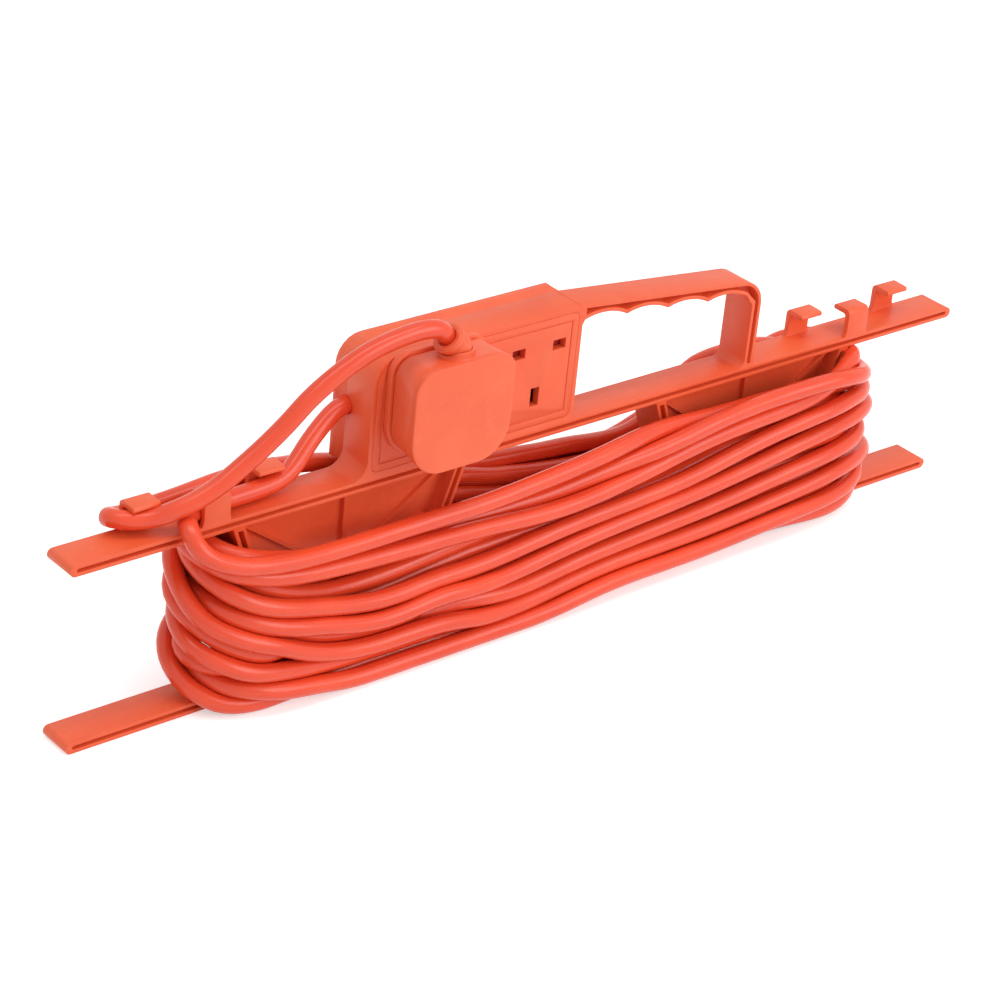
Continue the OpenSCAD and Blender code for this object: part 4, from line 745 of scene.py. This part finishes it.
def shell_ring(y, inset):
    """Outline of the plug at a depth. Its top falls smoothly towards the cover."""
    cover_drop, drop_from, drop_length = 2.0, PLUG_BASE - 4, 16
    along = min(1, max(0, (drop_from - y) / drop_length))
    drop = cover_drop * along * along * (3 - 2 * along)
    return rounded_ring(y, PLUG_LEFT, PLUG_RIGHT, PLUG_LOW, PLUG_HIGH - drop, PLUG_RADII, inset)


def plug_pocket(y, spare):
    """Outline of the plug's inner plate, widened by what is to spare."""
    half, low, high, radii = 18, 97.5, 130.5, (12, 12, 3, 3)
    return rounded_ring(y, GANG_X[1] - half - spare, GANG_X[1] + half + spare, low - spare, high + spare, radii)


def add_plug_shell():
    """The plug's shell: flange, seam, drawn-in wall, rounded shoulder and thin cover, neck and hollow."""
    shell = as_object(loft([shell_ring(y, inset) for y, inset in SHELL_RINGS], "plug_shell"), "plug_shell")
    neck_x, neck_y, neck_z = GUARD_ROOT
    neck = rod([(neck_x, neck_y, neck_z + rise) for rise, _ in NECK], [size for _, size in NECK], "neck")
    combine(shell, [neck], "UNION")
    # Inside: room for the wiring and the fuse, the way of the cord to it, and the seat of the inner plate
    bore_size, way_half, half_pitch = 13.4, 4.5, 11.115
    hollow = block((GANG_X[1] - 16, -21, 99.5), (GANG_X[1] + 16, PLUG_BASE - 1, 128.5), "hollow")
    cord_way = block((GANG_X[1] - 6, PLUG_MIDDLE - way_half, 126.5),
                     (GANG_X[1] + half_pitch + 3, PLUG_MIDDLE + way_half, neck_z - 7.5), "cord_way")
    bore = rod([(neck_x, neck_y, neck_z - 8), (neck_x, neck_y, neck_z - 4), GUARD_ROOT,
                GUARD_ROOT + (GUARD_MOUTH - GUARD_ROOT) * 0.6, GUARD_MOUTH], (bore_size,) * 5, "bore")
    pocket = loft([plug_pocket(y, 0.2) for y in (PLUG_BASE - 5.2, PLUG_BASE + 0.1)], "pocket")
    combine(shell, [hollow, cord_way, bore, pocket], "DIFFERENCE")
    return finish_piece(shell, "plug_body", "plug", sharp_angle=28)


plug_shell = add_plug_shell()


# ---------------------------------------------------------------- screws and springs

def new_tree(name, inputs):
    """An empty Geometry Nodes tree with named inputs, its group input and its group output."""
    tree = bpy.data.node_groups.new(name, "GeometryNodeTree")
    tree.interface.new_socket("Geometry", in_out="OUTPUT", socket_type="NodeSocketGeometry")
    for label, kind in inputs.items():
        tree.interface.new_socket(label, in_out="INPUT", socket_type=kind)
    return tree, add(tree, "NodeGroupInput").outputs, add(tree, "NodeGroupOutput")


def finish_tree(tree, geometry, finish, result):
    """Makes a tree's copies real, gives them their finish and hands them out."""
    real = add(tree, "GeometryNodeRealizeInstances", {"Geometry": geometry})
    finished = add(tree, "GeometryNodeSetMaterial", {"Geometry": real.outputs["Geometry"], "Material": finish})
    tree.links.new(finished.outputs["Geometry"], result.inputs["Geometry"])


def screw_tree():
    """A screw on each point, its slot turned at random. The top of its head is at the point."""
    size, head_sides, shank_sides = "NodeSocketFloat", 40, 24
    tree, given, result = new_tree("slotted_screw", {
        "Geometry": "NodeSocketGeometry", "Head diameter": size, "Head height": size, "Slot width": size,
        "Slot depth": size, "Shank diameter": size, "Shank length": size, "Lean": size,
        "Seed": "NodeSocketInt", "Finish": "NodeSocketMaterial"})

    # Sizes and heights that follow from the given ones. The screw's parts lie below the head's top.
    value = dict(given.items())
    for name, operation, one, two in (
            ("head radius", "MULTIPLY", "Head diameter", 0.5),
            ("top radius", "MULTIPLY", "head radius", 0.8),
            ("rim height", "MULTIPLY", "Head height", 0.62),
            ("crown height", "SUBTRACT", "Head height", "rim height"),
            ("crown place", "MULTIPLY", "crown height", -1.0),
            ("half rim", "MULTIPLY", "rim height", -0.5),
            ("rim place", "SUBTRACT", "half rim", "crown height"),
            ("shank radius", "MULTIPLY", "Shank diameter", 0.5),
            ("whole length", "ADD", "Shank length", "Head height"),
            ("shank place", "MULTIPLY", "whole length", -0.5),
            ("slot length", "MULTIPLY", "Head diameter", 1.2),
            ("slot height", "MULTIPLY", "Slot depth", 2.0)):
        value[name] = add(tree, "ShaderNodeMath", {0: value[one], 1: value.get(two, two)},
                          operation=operation).outputs["Value"]
    crown = add(tree, "GeometryNodeMeshCone", {
        "Vertices": head_sides, "Side Segments": 1, "Radius Bottom": value["head radius"],
        "Radius Top": value["top radius"], "Depth": value["crown height"]})
    rim = add(tree, "GeometryNodeMeshCylinder", {
        "Vertices": head_sides, "Radius": value["head radius"], "Depth": value["rim height"]})
    shank = add(tree, "GeometryNodeMeshCylinder", {
        "Vertices": shank_sides, "Radius": value["shank radius"], "Depth": value["Shank length"]})
    solids = add(tree, "GeometryNodeMeshBoolean", operation="UNION", solver="EXACT")
    for part, place in ((crown, "crown place"), (rim, "rim place"), (shank, "shank place")):
        shift = add(tree, "ShaderNodeCombineXYZ", {"Z": value[place]})
        moved = add(tree, "GeometryNodeTransform", {"Geometry": part.outputs["Mesh"],
                                                    "Translation": shift.outputs["Vector"]})
        tree.links.new(moved.outputs["Geometry"], solids.inputs["Mesh 2"])
    slot_size = add(tree, "ShaderNodeCombineXYZ", {
        "X": value["slot length"], "Y": value["Slot width"], "Z": value["slot height"]})
    slot = add(tree, "GeometryNodeMeshCube", {"Size": slot_size.outputs["Vector"]})
    slotted = add(tree, "GeometryNodeMeshBoolean", {"Mesh 1": solids.outputs["Mesh"]},
                  operation="DIFFERENCE", solver="EXACT")
    tree.links.new(slot.outputs["Mesh"], slotted.inputs["Mesh 2"])
    turned = add(tree, "FunctionNodeRandomValue", {"Seed": value["Seed"]}, data_type="FLOAT")
    turned.inputs["Max"].default_value = math.pi
    stance = add(tree, "ShaderNodeCombineXYZ", {"X": value["Lean"], "Y": turned.outputs["Value"]})
    placed = add(tree, "GeometryNodeInstanceOnPoints", {
        "Points": value["Geometry"], "Instance": slotted.outputs["Mesh"], "Rotation": stance.outputs["Vector"]})
    finish_tree(tree, placed.outputs["Instances"], value["Finish"], result)
    return tree


def spring_tree():
    """A coil spring at a place, upright on Z."""
    size = "NodeSocketFloat"
    tree, given, result = new_tree("coil_spring", {
        "Geometry": "NodeSocketGeometry", "Coil radius": size, "Wire radius": size, "Height": size,
        "Turns": size, "Place": "NodeSocketVector", "Finish": "NodeSocketMaterial"})
    helix = add(tree, "GeometryNodeCurveSpiral", {
        "Resolution": 22, "Rotations": given["Turns"], "Start Radius": given["Coil radius"],
        "End Radius": given["Coil radius"], "Height": given["Height"]})
    wire = add(tree, "GeometryNodeCurvePrimitiveCircle", {"Resolution": 10, "Radius": given["Wire radius"]})
    coil = add(tree, "GeometryNodeCurveToMesh", {"Curve": helix.outputs["Curve"],
                                                 "Profile Curve": wire.outputs["Curve"], "Fill Caps": True})
    seated = add(tree, "GeometryNodeTransform", {"Geometry": coil.outputs["Mesh"],
                                                 "Translation": given["Place"]})
    finish_tree(tree, seated.outputs["Geometry"], given["Finish"], result)
    return tree


def grown(tree, points, sizes, node, body):
    """Runs a tree on points, in millimetres, and turns its result into a piece that stands for a node."""
    mesh = bpy.data.meshes.new(node + "_real")
    mesh.from_pydata([tuple(v * MM for v in p) for p in points], [], [])
    piece = as_object(mesh, node + "_real")
    modifier = piece.modifiers.new("grow", "NODES")
    modifier.node_group = tree
    names = {item.name: item.identifier for item in tree.interface.items_tree if item.in_out == "INPUT"}
    for name, value in sizes.items():
        modifier[names[name]] = value
    modifier[names["Finish"]] = FINISHES[node][0]
    settle(piece)
    return finish_piece(piece, node, body)


screw = screw_tree()
COVER_SCREWS = ((-94.1, 17.3, 132.7), (-95.1, 17.3, 91.9), (2.1, 17.3, 91.9), (2.1, 17.3, 134.1))
TERMINALS = ((-90.6, 7.2, 124.0), (-84.5, 7.2, 117.0), (-84.5, 7.2, 109.5))
GRIP_SCREWS = ((-96.6, 0.45, 105.1), (-96.6, 0.45, 121.5))
FACING_BACK, FACING_FRONT = -math.pi / 2, math.pi / 2
for node, points, (head_d, head_h, slot_w, slot_h, shank_d, shank_l), lean, seed in (
        ("cover_screws", COVER_SCREWS, (5.6, 2.0, 0.8, 0.9, 2.9, 17.8), FACING_BACK, 3),
        ("terminal_screws", TERMINALS, (5.4, 1.8, 0.8, 0.8, 2.9, 5.5), FACING_FRONT, 7),
        ("cord_grip_screws", GRIP_SCREWS, (4.0, 1.4, 0.7, 0.7, 2.3, 12.2), FACING_FRONT, 11)):
    grown(screw, points, {
        "Head diameter": head_d * MM, "Head height": head_h * MM, "Slot width": slot_w * MM,
        "Slot depth": slot_h * MM, "Shank diameter": shank_d * MM, "Shank length": shank_l * MM,
        "Lean": lean, "Seed": seed}, node, "carrier")

spring = spring_tree()
SPRING_SEAT, SPRING_Y, COIL_RADIUS, WIRE_RADIUS = 135.25, -2.45, 1.6, 0.3
for gang, low, turns in ((1, 132.43, 3.0), (2, 127.23, 6.0)):
    piece = grown(spring, [(GANG_X[gang], SPRING_Y, low)], {
        "Coil radius": COIL_RADIUS * MM, "Wire radius": WIRE_RADIUS * MM,
        "Height": (SPRING_SEAT - low - 2 * WIRE_RADIUS) * MM, "Turns": turns,
        "Place": (GANG_X[gang] * MM, SPRING_Y * MM, (low + WIRE_RADIUS) * MM)},
        f"shutter_spring_{gang}", "carrier")
    if gang == 2:
        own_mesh(piece)

# The inner plate of the plug follows the shell's drawn-in corners
plate = eased_copy("pin_carrier", 0.25, "plug")
combine(plate, [loft([plug_pocket(y, 0) for y in (PLUG_BASE - 6, PLUG_BASE + 1)], "pocket")], "INTERSECT")
plug_pieces = [plug_shell, guard, plate]
plug_pieces += [eased_copy(node, 0.25, "plug") for node in ("fuse_carrier", "line_pin", "neutral_pin",
                                                            "earth_pin")]
plug_pieces += [NODES[node] for node in ("line_sleeve", "neutral_sleeve", "fuse_barrel", "fuse_caps",
                                         "fuse_clips", "plug_cord_end", "plug_live_core",
                                         "plug_neutral_core", "plug_earth_core")]


# ---------------------------------------------------------------- floor and light

def background_ray(tree):
    """One for rays that show the background: from the camera, off a glossy surface or through glass."""
    path = add(tree, "ShaderNodeLightPath").outputs
    glossy = add(tree, "ShaderNodeMath", {0: path["Is Camera Ray"], 1: path["Is Glossy Ray"]},
                 operation="MAXIMUM")
    return add(tree, "ShaderNodeMath", {0: glossy.outputs["Value"], 1: path["Is Transmission Ray"]},
               operation="MAXIMUM").outputs["Value"]


def add_floor():
    """Matt pale floor just under the object, which glows only for the rays that show the background."""
    half, low, glow_strength = 6.0, -0.0002, 0.48
    mesh = bpy.data.meshes.new("floor")
    mesh.from_pydata([(-half, -half, low), (half, -half, low), (half, half, low), (-half, half, low)], [],
                     [(0, 1, 2, 3)])
    floor = as_object(mesh, "floor")
    material, tree, shader = new_material("studio_floor")
    tree.nodes.remove(shader)
    matt = add(tree, "ShaderNodeBsdfDiffuse", {"Color": linear("#ebebeb")})
    glow = add(tree, "ShaderNodeEmission", {"Color": linear("#ffffff")})
    strength = add(tree, "ShaderNodeMath", {0: background_ray(tree), 1: glow_strength}, operation="MULTIPLY")
    tree.links.new(strength.outputs["Value"], glow.inputs["Strength"])
    both = add(tree, "ShaderNodeAddShader", {0: matt.outputs["BSDF"], 1: glow.outputs["Emission"]})
    tree.links.new(both.outputs["Shader"], tree.nodes["Material Output"].inputs["Surface"])
    floor.data.materials.append(material)


def add_world():
    """Even white light on the object, and a white background for the rays that show it."""
    object_light, background = 0.74, 1.0
    world = bpy.data.worlds.new("studio")
    bpy.context.scene.world = world
    world.use_nodes = True
    tree = world.node_tree
    mixed = add(tree, "ShaderNodeMixShader", {"Fac": background_ray(tree)})
    for number, strength in ((1, object_light), (2, background)):
        sky = add(tree, "ShaderNodeBackground", {"Color": linear("#ffffff"), "Strength": strength})
        tree.links.new(sky.outputs["Background"], mixed.inputs[number])
    tree.links.new(mixed.outputs["Shader"], tree.nodes["World Output"].inputs["Surface"])


def add_lamp(name, place, size, watts):
    """Rectangular lamp that looks at the middle of the object."""
    aim = (0, 0, 0.06)
    lamp = bpy.data.objects.new(name, bpy.data.lights.new(name, "AREA"))
    lamp.data.shape = "RECTANGLE"
    lamp.data.size, lamp.data.size_y = size
    lamp.data.energy = watts
    lamp.location = place
    lamp.rotation_euler = (Vector(aim) - Vector(place)).to_track_quat("-Z", "Y").to_euler()
    bpy.context.scene.collection.objects.link(lamp)


add_floor()
add_world()
add_lamp("key", place=(0.65, -1.6, 0.9), size=(1.3, 1.1), watts=13.5)
add_lamp("top", place=(-0.1, -0.3, 1.6), size=(1.7, 0.4), watts=7.5)
bpy.context.scene.view_settings.view_transform = "Standard"
